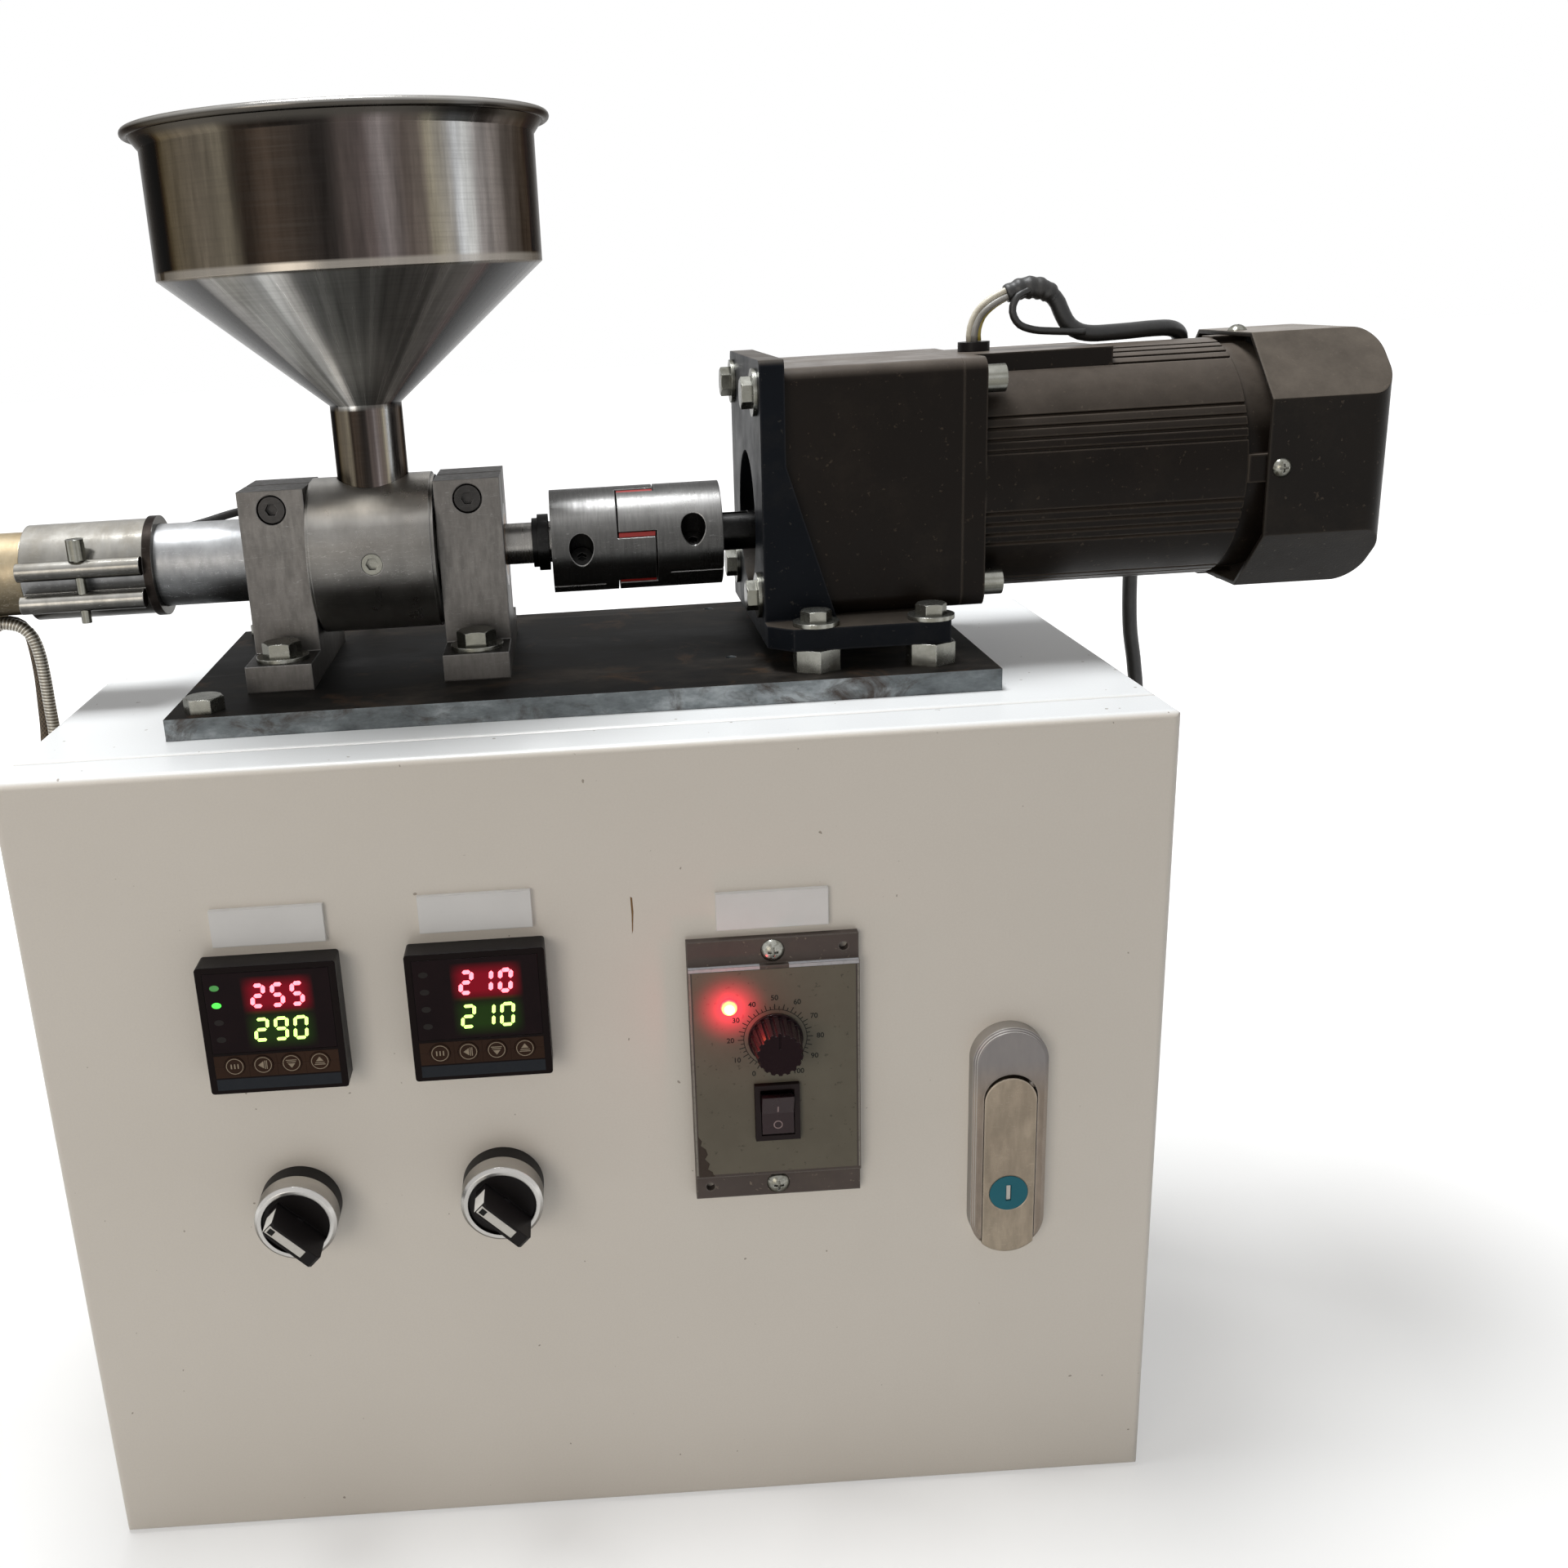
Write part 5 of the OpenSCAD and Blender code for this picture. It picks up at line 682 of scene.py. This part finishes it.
# The last list paints highlight on top and shade below
barrel_steel = metal(
    "worn_barrel", (0.8, 0.82, 0.84), (0.5, 0.5, 0.5), 0.38, (0.5, 0.3, 0.3), 420, 0.00004, 0.0006, 1.0,
    [(-1, 0.15), (-0.6, 0.2), (-0.2, 0.26), (0.2, 0.4), (0.5, 0.62), (0.75, 0.95), (1, 1)])
dark_steel = metal(
    "dark_steel", (0.035, 0.028, 0.024), (0.018, 0.014, 0.012), 0.4, (1, 0.1, 0.1), 900, 0.00003, 0.0005, 0.5)
dress("bearing_blocks", machined)
# The last list paints highlight and reflection high up and at the bottom, shade between
housing = metal(
    "turned_housing", (0.8, 0.78, 0.74), (0.6, 0.56, 0.51), 0.3, (0.6, 0.25, 0.25), 160, 0.00001, 0.0006, 0.6,
    [(-1, 0.7), (-0.75, 0.6), (-0.5, 0.28), (-0.2, 0.17), (0.2, 0.22), (0.45, 0.4), (0.65, 1), (0.82, 0.95),
    (1, 0.7)])
dress("feed_housing", housing)
dress("barrel", barrel_steel)
# The last list paints highlight on top and shade below
band = metal(
    "band_steel", (0.85, 0.84, 0.8), (0.45, 0.42, 0.36), 0.2, (1, 0.3, 0.3), 260, 0.00004, 0.0006, 0.4,
    [(-1, 0.12), (-0.6, 0.08), (-0.2, 0.12), (0.1, 0.3), (0.35, 0.42), (0.6, 0.75), (0.8, 1), (1, 1)])


def off_axis(c):
    """Distance from the screw's axis."""
    return math.hypot(c[1] - AXIS_Y, c[2] - AXIS_Z)


# The band's clamp ring beside the block is dark
dress("band_heater", band, dark_steel, choose=lambda c, n: 1 if c[0] > -165.2 and off_axis(c) > 18.6 else 0)
# The last list paints highlight on top and shade below
brass = metal(
    "worn_brass", (0.72, 0.62, 0.44), (0.42, 0.31, 0.17), 0.38, (1, 0.4, 0.4), 240, 0.00006, 0.0008, 1.2,
    [(-1, 0.12), (-0.5, 0.16), (-0.1, 0.35), (0.3, 0.55), (0.7, 0.95), (1, 1)])
dress("nozzle_heater", brass)
dress("die_head", dark_steel)
bronze = metal("bearing_bronze", (0.38, 0.22, 0.1), (0.25, 0.14, 0.06), 0.35, (1, 0.05, 0.05), 1200)
dress("screw_bearings", bronze)
# The last list paints a highlight band high on the hubs and shade below
alloy = metal(
    "coupling_alloy", (0.82, 0.81, 0.79), (0.6, 0.59, 0.57), 0.3, (1, 0.1, 0.1), 1100, 0.00001, 0.0006, 0.25,
    [(-1, 0.2), (-0.75, 0.14), (-0.4, 0.07), (-0.05, 0.09), (0.25, 0.14), (0.42, 0.22), (0.56, 0.36),
    (0.7, 0.3), (0.84, 0.17), (1, 0.15)])
dress("coupling_hubs", alloy)
elastomer = paint("red_elastomer", (0.42, 0.018, 0.014), (0.28, 0.012, 0.01), 0.5, 1400, 0.00005, 0.0004)
dress("coupling_spider", elastomer)
oxide = metal(
    "black_oxide", (0.03, 0.029, 0.028), (0.015, 0.015, 0.015), 0.34, (1, 1, 1), 500, 0.00003, 0.0003, 0.3)
# The screw's collar beside the coupling is blackened
dress("feed_screw", turned, oxide, choose=lambda c, n: 1 if -17 < c[0] < -9 and off_axis(c) > 8.2 else 0)
dress_each(oxide, "coupling_screws", "output_shaft")
gear_steel = metal("gear_steel", (0.34, 0.34, 0.35), (0.2, 0.2, 0.2), 0.3, (1, 0.2, 0.2), 700)
dress_each(gear_steel, "idler_gear_1", "idler_gear_2", "rotor")

# Spun steel: broad bands of painted reflection that run down the wall and the cone, fine rings round it, and
# dirt at the left
spun = Look("spun_steel", Specular_Tint=(0.3, 0.29, 0.28))
p = spun.parts()
px = spun.minus(p[0], HOPPER_X * MM)
py = spun.minus(p[1], AXIS_Y * MM)
turn = spun.math("ARCTAN2", py, px)
around = spun.join(spun.math("COSINE", turn), spun.math("SINE", turn), spun.times(p[2], 1.2))
sway = spun.level(spun.noise(3, 3, 0.6, source=around), 0.3, 0.7, -0.005, 0.005)
wide = spun.plus(spun.level(turn, -math.pi, math.pi), sway)
narrow = spun.noise(13, 4, 0.65, source=around)
# Painted reflections: dull and bright bands, as shares of a turn from the back left
wall = spun.ramp(
    wide, (0.0, 0.1, 0.09, 0.08), (0.06, 0.03, 0.024, 0.018), (0.1, 0.025, 0.02, 0.014),
    (0.118, 0.11, 0.09, 0.062), (0.15, 0.12, 0.1, 0.075), (0.178, 0.13, 0.112, 0.083),
    (0.194, 0.022, 0.016, 0.012), (0.235, 0.012, 0.0095, 0.008), (0.262, 0.024, 0.02, 0.018),
    (0.275, 0.075, 0.06, 0.054), (0.29, 0.085, 0.068, 0.064), (0.3, 0.19, 0.165, 0.16),
    (0.315, 0.1, 0.08, 0.07), (0.33, 0.115, 0.095, 0.08), (0.338, 0.27, 0.24, 0.18), (0.35, 0.3, 0.28, 0.25),
    (0.357, 0.62, 0.63, 0.64), (0.368, 0.6, 0.6, 0.58), (0.377, 0.25, 0.23, 0.22), (0.395, 0.21, 0.185, 0.17),
    (0.41, 0.1, 0.085, 0.075), (0.445, 0.085, 0.072, 0.062), (0.47, 0.04, 0.034, 0.03),
    (0.53, 0.32, 0.31, 0.3), (0.62, 0.6, 0.59, 0.58), (0.7, 0.1, 0.09, 0.08), (0.79, 0.3, 0.29, 0.28),
    (0.87, 0.07, 0.06, 0.055), (0.94, 0.5, 0.49, 0.48), (1.0, 0.3, 0.29, 0.27))
# Painted reflections on the cone, in the same shares of a turn
funnel = spun.ramp(
    wide, (0.0, 0.1), (0.05, 0.07, 0.075, 0.08), (0.1, 0.03, 0.03, 0.032), (0.132, 0.025, 0.023, 0.022),
    (0.14, 0.34, 0.33, 0.32), (0.165, 0.46, 0.46, 0.44), (0.19, 0.4, 0.4, 0.39), (0.2, 0.9, 0.91, 0.9),
    (0.217, 0.95, 0.93, 0.9), (0.228, 0.2, 0.2, 0.195), (0.25, 0.17, 0.17, 0.16), (0.275, 0.13, 0.128, 0.12),
    (0.3, 0.1, 0.095, 0.088), (0.335, 0.13, 0.12, 0.11), (0.35, 0.28, 0.26, 0.24), (0.37, 0.2, 0.18, 0.165),
    (0.382, 0.12, 0.08, 0.075), (0.39, 0.025, 0.023, 0.023), (0.43, 0.035, 0.033, 0.035),
    (0.47, 0.045, 0.045, 0.048), (0.6, 0.45, 0.45, 0.44), (0.75, 0.08), (0.88, 0.4, 0.39, 0.38), (1.0, 0.1))
cone = spun.times(spun.level(p[2], 0.4665, 0.4655), spun.level(p[2], 0.4165, 0.4185))
spun.set("Metallic", spun.level(cone, 0, 1, 0.95, 0.4))
tint = spun.mix(cone, wall, funnel)
streak = spun.level(narrow, 0.3, 0.7, 0.62, 1.25)
tint = spun.mix(1.0, tint, spun.join(streak, streak, streak), "MULTIPLY")
rings = spun.noise(1500, 2, 0.5, (0.02, 0.02, 1))
tint = spun.mix(spun.level(rings, 0.45, 0.65, 0, 0.12), tint, (0.03, 0.028, 0.026))
# The seam below the wall is polished, and warm reflections, painted into its colour, sit above it
seam = spun.times(spun.level(p[2], 0.4655, 0.4665), spun.level(p[2], 0.4695, 0.4685))
tint = spun.mix(spun.times(seam, 0.6), tint, (0.36, 0.33, 0.29))
left = spun.level(px, -0.054, -0.066)
dirt = spun.times(left, spun.level(spun.noise(90, 6, 0.75, (1, 1, 0.45)), 0.5, 0.6))
tint = spun.mix(dirt, tint, (0.03, 0.022, 0.014))
# Painted light on the rim: lighter where it looks up, darker where it looks down
painted_rim_light = spun.mix(spun.level(spun.up(), -0.1, 0.5), (0.06, 0.055, 0.048), (0.42, 0.41, 0.39))
tint = spun.mix(spun.level(p[2], 0.5115, 0.5135, 0, 0.9), tint, painted_rim_light)
spun.set("Base Color", tint)
spun.rough(narrow, 0.2, 0.3)
spun.bump(rings, 0.00002, 0.3, spun.soft_edge(0.0004))
dress("hopper", spun)

navy = paint(
    "bracket_paint", (0.006, 0.0075, 0.0105), (0.004, 0.005, 0.007), 0.42, 1100, 0.00008, 0.0008,
    (0.03, 0.028, 0.026), (0.06, 0.05, 0.04), (0.045, 0.045, 0.05), Specular_IOR_Level=0.05)
dress("motor_bracket", navy)
motor_paint = paint(
    "motor_paint", (0.0115, 0.0085, 0.0066), (0.0075, 0.0056, 0.0044), 0.36, 1500, 0.0001, 0.0008,
    (0.035, 0.027, 0.02), (0.12, 0.1, 0.083), (0.1, 0.082, 0.066), Specular_IOR_Level=0.08)
dress_each(motor_paint, "gearbox_case", "motor_housing")
fan_grey = paint("fan_plastic", (0.03, 0.03, 0.03), (0.02, 0.02, 0.02), 0.5)
dress("cooling_fan", fan_grey)
cover = paint(
    "cover_paint", (0.0125, 0.0098, 0.0078), (0.0085, 0.0066, 0.0052), 0.36, 1300, 0.00012, 0.001,
    (0.045, 0.036, 0.028), (0.2, 0.17, 0.14), (0.06, 0.05, 0.04), Specular_IOR_Level=0.1)
dress("fan_cover", cover)
caps = metal(
    "cap_steel", (0.05, 0.047, 0.045), (0.022, 0.021, 0.02), 0.3, (1, 1, 1), 500, 0.00002, 0.0005, 0.3)


def in_blocks(c, n):
    """The blocks' cap screws are black, the other small fasteners zinc."""
    return 1 if c[2] > AXIS_Z + 9.5 and (-130 < c[0] < -97 or -56 < c[0] < -23) else 0


dress("small_fasteners", zinc, caps, choose=in_blocks)


# Signs and lit digits that stand in front of their solids
def lit(name, colour, strength):
    m = Look(name, Emission_Strength=strength)
    m.set("Base Color", colour)
    brighter = [min(1, 1.15 * c + 0.02) for c in colour]
    m.set("Emission Color", m.mix(m.level(m.noise(700, 2), 0.3, 0.7), colour, brighter))
    m.set("Roughness", 0.4)
    return m.material


def print_ink(name, colour, worn=0.25):
    m = Look(name, Specular_IOR_Level=0.12)
    m.set("Base Color", m.mix(m.level(m.noise(900, 3), 0.5, 0.7, 0, worn), colour, [0.5 * c for c in colour]))
    m.rough(m.noise(300, 2), 0.4, 0.6)
    return m.material


SEGMENTS = {"0": "abcdef", "1": "bc", "2": "abged", "5": "afgcd", "9": "abfgcd"}


def digit_loops(text, x, z, w, h, step, t, lean=0.09):
    """Outlines of seven-segment figures whose lower left corner is at x, z."""
    half = h / 2
    g = 0.22 * t
    across = [(t / 2 + g, 0), (t + g * 0.6, t / 2), (w - t - g * 0.6, t / 2), (w - t / 2 - g, 0),
              (w - t - g * 0.6, -t / 2), (t + g * 0.6, -t / 2)]
    upright = [(0, t / 2 + g), (t / 2, t + g * 0.6), (t / 2, half - t / 2 - g), (0, half - g),
               (-t / 2, half - t / 2 - g), (-t / 2, t + g * 0.6)]
    places = {"a": (across, 0, h - t / 2), "g": (across, 0, half), "d": (across, 0, t / 2),
              "f": (upright, t / 2, half - t / 4), "b": (upright, w - t / 2, half - t / 4),
              "e": (upright, t / 2, 0), "c": (upright, w - t / 2, 0)}
    loops = []
    for k, figure in enumerate(text):
        for s in SEGMENTS[figure]:
            shape, dx, dz = places[s]
            loops.append([(x + k * step + px + dx + lean * (pz + dz), z + pz + dz) for px, pz in shape])
    return loops


red_lit = lit("red_digits", (1.0, 0.10, 0.13), 4.5)
green_lit = lit("green_digits", (0.5, 1.0, 0.16), 2.4)
green_lamp = lit("green_lamp", (0.06, 0.8, 0.06), 1.1)
dim_green = lit("dim_lamp", (0.03, 0.2, 0.03), 0.5)
unlit = print_ink("unlit_mark", (0.016, 0.013, 0.012))
cream = print_ink("cream_ink", (0.33, 0.27, 0.2))
strip_ink = print_ink("strip_ink", (0.014, 0.0165, 0.021))
DIGIT_W, DIGIT_STEP = 5.1, 6.75
KEY_R = 3.62
y = CONTROLLER_FRONT - GAP
for n, ((cx, cz), upper, lower) in enumerate(zip(CONTROLLERS, ("255", "210"), ("290", "210")), 1):
    for name, text, x, z, h, t, look in (("upper_digits", upper, cx - 6.4, cz + 8.1, 9.2, 1.5, red_lit),
                                         ("lower_digits", lower, cx - 6.6, cz - 4.6, 9.0, 1.2, green_lit)):
        flat("%s_%d" % (name, n), digit_loops(text, x, z, DIGIT_W, h, DIGIT_STEP, t), y, INK, "door", look)
    for k in range(4):
        shape = oval(cx - 17.9, cz + 16.4 - 6.5 * k, 1.65, 1.1)
        look = unlit if n == 2 else (dim_green, green_lamp, unlit, unlit)[k]
        flat("indicator_%d_%d" % (n, k + 1), [shape], y, INK, "door", look)
    band_z = cz + CONTROLLER_SIDE * (0.5 - 0.78)
    low, high = band_z - 4.4, band_z + 4.1
    # The brown strip round the keys, open over each key
    loops = []
    left, right = cx - 21.6, cx + 21.6
    keys = [cx + CONTROLLER_SIDE * (0.195 + 0.205 * k - 0.5) for k in range(4)]
    edges = [left] + [0.5 * (a + b) for a, b in zip(keys, keys[1:])] + [right]
    for k, kx in enumerate(keys):
        for side in (-1, 1):
            arc = [(kx + KEY_R * math.sin(a), band_z + side * KEY_R * math.cos(a))
                   for a in [math.pi * (j / 24 - 0.5) for j in range(25)]]
            outer = high if side > 0 else low
            loops.append([(edges[k], band_z), (edges[k], outer), (edges[k + 1], outer),
                          (edges[k + 1], band_z)] + arc[::-1])
    flat("key_band_%d" % n, loops, y, 0.03, "door", key_face.material)
    flat("lower_strip_%d" % n, [rectangle(left, right, cz - 22.6, low - 0.5)], y, 0.03, "door", strip_ink)
    top = CONTROLLER_FRONT - KEY_RISE - GAP
    for k, (key, kx) in enumerate(zip(("set", "left", "down", "up"), keys)):
        marks = ring(kx, band_z, 2.75, 3.0, 36)
        if key == "left":
            marks += [[(kx - 1.7, band_z), (kx + 0.2, band_z - 1.4), (kx + 0.2, band_z + 1.4)]]
            marks += [rectangle(kx + d, kx + d + 0.3, band_z - 1.6, band_z + 1.6) for d in (0.55, 1.15)]
        elif key in ("down", "up"):
            s = 1 if key == "up" else -1
            marks += [[(kx, band_z + s * 1.8), (kx + 1.3, band_z + s * 0.1), (kx - 1.3, band_z + s * 0.1)]]
            marks += [rectangle(kx - w, kx + w, band_z - s * d, band_z - s * (d + 0.3))
                      for w, d in ((1.6, 0.35), (1.9, 1.0))]
        else:
            marks += [rectangle(kx + d, kx + d + 0.45, band_z - 0.9, band_z + 0.9)
                      for d in (-1.4, -0.22, 0.95)]
        flat("key_mark_%s_%d" % (key, n), marks, top, INK, "press_key_%s_%d" % (key, n), cream)

# Faceplate with its chipped corner, the dial's ticks and numbers
plate = Look("faceplate", Specular_IOR_Level=0.15)
pale = plate.noise(60, 6, 0.6)
tint = plate.mix(plate.level(pale, 0.35, 0.7), (0.128, 0.113, 0.085), (0.148, 0.132, 0.1))
tint = plate.mix(plate.level(plate.noise(500, 2, 0.6), 0.66, 0.74, 0, 0.6), tint, (0.05, 0.045, 0.035))
plate.set("Base Color", tint)
plate.rough(pale, 0.3, 0.42)
plate.bump(plate.noise(1400, 2), 0.00002, 0.3)
# Painted glow: the lamp's red halo, emitted by the face round it
p = plate.parts()
HALO_X, HALO_Z = 0.0441, 0.213
near = plate.length(plate.join(plate.minus(p[0], HALO_X), plate.minus(p[2], HALO_Z)))
plate.set("Emission Color", (1.0, 0.02, 0.06))
plate.set("Emission Strength", plate.math("POWER", plate.level(near, 0.0155, 0.0035), 2.4))
PLATE_L, PLATE_R, PLATE_B, PLATE_T = 31.2, 88.4, 147.2, 227.4
PANEL_L, PANEL_R = 30.0, 89.6
HOLE_X, HOLE_Z = 8.1, 11.2
chip = [(PLATE_L, 163.0), (32.4, 161.2), (31.9, 159.4), (33.6, 158.0), (34.3, 155.6), (33.2, 153.9),
        (34.9, 151.8), (34.2, 149.6), (35.8, 148.4), (36.1, PLATE_B)]

# One flat face with a real window for the rocker, made of two halves that meet beside it
z0, z1 = ROCKER_Z - HOLE_Z, ROCKER_Z + HOLE_Z
left_half = [(DIAL_X, PLATE_T), (PLATE_L, PLATE_T)] + chip + [
    (DIAL_X, PLATE_B), (DIAL_X, z0), (DIAL_X - HOLE_X, z0), (DIAL_X - HOLE_X, z1), (DIAL_X, z1)]
right_half = [(DIAL_X, PLATE_B), (PLATE_R, PLATE_B), (PLATE_R, PLATE_T), (DIAL_X, PLATE_T), (DIAL_X, z1),
              (DIAL_X + HOLE_X, z1), (DIAL_X + HOLE_X, z0), (DIAL_X, z0)]
flat("speed_faceplate", [left_half, right_half], PANEL_FRONT - 0.2, 0.2, "door", plate.material)
silver = print_ink("bright_edge", (0.5, 0.5, 0.52), 0.3)
# The panel's bright upper edge is broken below the screw
for n, (x0, x1) in enumerate([(PANEL_L, 55.0), (65.2, PANEL_R)], 1):
    flat("panel_top_edge_%d" % n, [rectangle(x0, x1, 227.5, 228.7)], PANEL_FRONT - 0.06, 0.05, "door", silver)
    slab("panel_top_ledge_%d" % n, (x0, x1), (PANEL_FRONT, PANEL_FRONT + 1.6), (228.81, 228.86), "door",
         silver)
worn_edge = print_ink("worn_edge", (0.26, 0.24, 0.21), 0.5)
flat("panel_side_edges", [rectangle(PANEL_L, 30.7, 147.0, 227.3), rectangle(89.0, PANEL_R, 147.0, 227.3)],
     PANEL_FRONT - 0.05, 0.03, "door", worn_edge)
bare = print_ink("bare_corner", (0.05, 0.036, 0.028), 0.4)
flat("panel_bare_corner", [[(31.0, 163.4), (31.0, 146.4), (36.6, 146.4), (36.0, 150.0), (35.2, 156.4),
                            (34.0, 160.0)]], PANEL_FRONT - 0.08, 0.06, "door", bare)
dark_ink = print_ink("dark_ink", (0.018, 0.018, 0.016))
ticks = ring(DIAL_X, DIAL_Z, 11.05, 11.3, 60)
for k in range(41):
    a = math.radians(-150 + 7.5 * k)
    r1 = 12.4 if k % 2 else 13.3
    ux, uz, half = math.sin(a), math.cos(a), 0.16
    ticks.append([(DIAL_X + r * ux + side * half * uz, DIAL_Z + r * uz - side * half * ux)
                  for r, side in ((11.2, -1), (11.2, 1), (r1, 1), (r1, -1))])
PRINT_Y = PANEL_FRONT - 0.24
flat("dial_ticks", ticks, PRINT_Y, 0.03, "door", dark_ink)


def dial_number(text, x, z):
    """Flat figures cut from the built-in face, centred on x, z."""
    name = "dial_number_" + text
    curve = bpy.data.curves.new(name, "FONT")
    curve.body, curve.size, curve.align_x, curve.align_y = text, 0.0027, "CENTER", "CENTER"
    curve.extrude, curve.offset = 0.00001, 0.00005
    obj = bpy.data.objects.new(name, curve)
    place = Matrix.Translation((x * MM, PRINT_Y * MM, z * MM))
    obj.matrix_world = place @ Matrix.Rotation(math.pi / 2, 4, "X")
    scene.collection.objects.link(obj)
    bpy.context.view_layer.update()
    mesh = bpy.data.meshes.new_from_object(obj.evaluated_get(bpy.context.evaluated_depsgraph_get()))
    mesh.transform(obj.matrix_world)
    bpy.data.objects.remove(obj)
    done = bpy.data.objects.new(name, mesh)
    scene.collection.objects.link(done)
    mesh.materials.clear()
    mesh.materials.append(dark_ink)
    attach(done, "door")


for k in range(11):
    a = math.radians(-150 + 30 * k)
    dial_number(str(10 * k), DIAL_X + 15.9 * math.sin(a), DIAL_Z + 15.6 * math.cos(a))
probe = BVHTree.FromObject(nodes["rocker_switch"], bpy.context.evaluated_depsgraph_get())


def on_paddle(px, pz):
    hit = probe.ray_cast(Vector((px * MM, -0.2, pz * MM)), Vector((0, 1, 0)))[0]
    return hit.y / MM - 0.03 if hit else -107.0


rocker_ink = print_ink("rocker_ink", (0.3, 0.22, 0.22))
bar = rectangle(DIAL_X - 0.25, DIAL_X + 0.25, ROCKER_Z + 0.5, ROCKER_Z + 3.1)
for sign, loops in (("mark_on", [bar]), ("mark_off", ring(DIAL_X, ROCKER_Z - 4.8, 1.25, 1.65, 32))):
    # The paddle's faces slope away from its middle; the marks lie on them
    verts, faces = [], []
    for loop in loops:
        faces.append(tuple(range(len(verts), len(verts) + len(loop))))
        verts += [(px * MM, on_paddle(px, pz) * MM, pz * MM) for px, pz in loop]
    piece("rocker_" + sign, verts, faces, "rocker", rocker_ink)

# White paint in the levers' grooves and in the lock's slot
white_paint = print_ink("white_paint", (0.72, 0.7, 0.66), 0.12)
black_ink = print_ink("black_ink", (0.01, 0.01, 0.01), 0.1)
for n, (sx, sz) in enumerate(SELECTORS, 1):
    turn_back = Matrix.Translation((sx * MM, 0, sz * MM)) @ Matrix.Rotation(math.radians(-45), 4, "Y")
    body = "selector_%d" % n
    strip = flat("pointer_%d" % n, [rectangle(-1.55, 1.55, -5.9, 9.9)], LEVER_FRONT, 0.3, body, white_paint)
    mark = flat("pointer_mark_%d" % n, [rectangle(-1.1, 1.1, 7.0, 9.3)], LEVER_FRONT - 0.05, 0.03, body,
                black_ink)
    cap = slab("pointer_end_%d" % n, (-2.5, 2.5), (-126.2, -117.8), (10.02, 10.12), body, white_paint)
    for part in (strip, mark, cap):
        part.data.transform(turn_back)
flat("key_slot_mark", [rectangle(142.75, 144.25, 129.8, 135.8)], -106.6, 0.2, "key_cylinder", white_paint)

# Small marks on the door
brown = print_ink("brown_mark", (0.22, 0.13, 0.06), 0.6)
flat("door_scratch", [[(11.5, 255.6), (12.2, 255.2), (12.4, 250.0), (11.9, 243.0), (11.5, 241.6),
                       (11.7, 249.0)]], DOOR_FRONT - 0.03, INK, "door", brown)

# Floor, light and world
FLOOR_HALF, FLOOR_Z = 9, -0.0006
corners = rectangle(-FLOOR_HALF, FLOOR_HALF, -FLOOR_HALF, FLOOR_HALF)
floor = piece("floor", [(x, y, FLOOR_Z) for x, y in corners], [(0, 1, 2, 3)], None)
ground = Look("floor_paper")
ground.set("Base Color", ground.mix(ground.noise(3, 3), (0.62, 0.615, 0.6), (0.64, 0.635, 0.62)))
ground.set("Roughness", 0.9)
rays = ground.new("LightPath").outputs
seen = ground.math("MAXIMUM", rays["Is Glossy Ray"], rays["Is Transmission Ray"])
seen = ground.math("MAXIMUM", rays["Is Camera Ray"], seen)
spot = ground.length(ground.coords.outputs["Object"])
ground.set("Emission Color", (1, 1, 1))
ground.set("Emission Strength", ground.times(seen, ground.level(spot, 0.35, 0.9, 0.4, 1.0)))
floor.data.materials.append(ground.material)

world = bpy.data.worlds.new("world")
scene.world = world
world.use_nodes = True
tree = world.node_tree
back = tree.nodes["Background"]
paths = tree.nodes.new("ShaderNodeLightPath").outputs
seen = paths["Is Camera Ray"]
for ray in ("Is Glossy Ray", "Is Transmission Ray"):
    either = tree.nodes.new("ShaderNodeMath")
    either.operation = "MAXIMUM"
    tree.links.new(seen, either.inputs[0])
    tree.links.new(paths[ray], either.inputs[1])
    seen = either.outputs[0]
power = tree.nodes.new("ShaderNodeMapRange")
power.inputs["To Min"].default_value = 0.2
power.inputs["To Max"].default_value = 1.0
tree.links.new(seen, power.inputs["Value"])
tree.links.new(power.outputs[0], back.inputs["Strength"])
back.inputs["Color"].default_value = (1, 1, 1, 1)


def area(name, place, aim, size, power, colour=(1, 1, 1)):
    data = bpy.data.lights.new(name, "AREA")
    data.shape, data.size, data.size_y, data.energy, data.color = "RECTANGLE", size[0], size[1], power, colour
    obj = bpy.data.objects.new(name, data)
    obj.location = place
    obj.rotation_euler = (Vector(aim) - Vector(place)).to_track_quat("-Z", "Y").to_euler()
    scene.collection.objects.link(obj)


area("overhead", (-0.15, 0.1, 1.75), (0, 0.02, 0.3), (0.6, 0.45), 27, (0.96, 0.98, 1.0))
area("front_fill", (-1.3, -2.2, 0.8), (0, 0, 0.3), (1.2, 1.2), 15, (1, 0.93, 0.84))
glow = bpy.data.lights.new("lamp_light", "POINT")
glow.energy, glow.color, glow.shadow_soft_size = 0.006, (1.0, 0.03, 0.05), 0.002
glow_obj = bpy.data.objects.new("lamp_light", glow)
glow_obj.location = (LAMP_X * MM, -0.1125, LAMP_Z * MM)
scene.collection.objects.link(glow_obj)
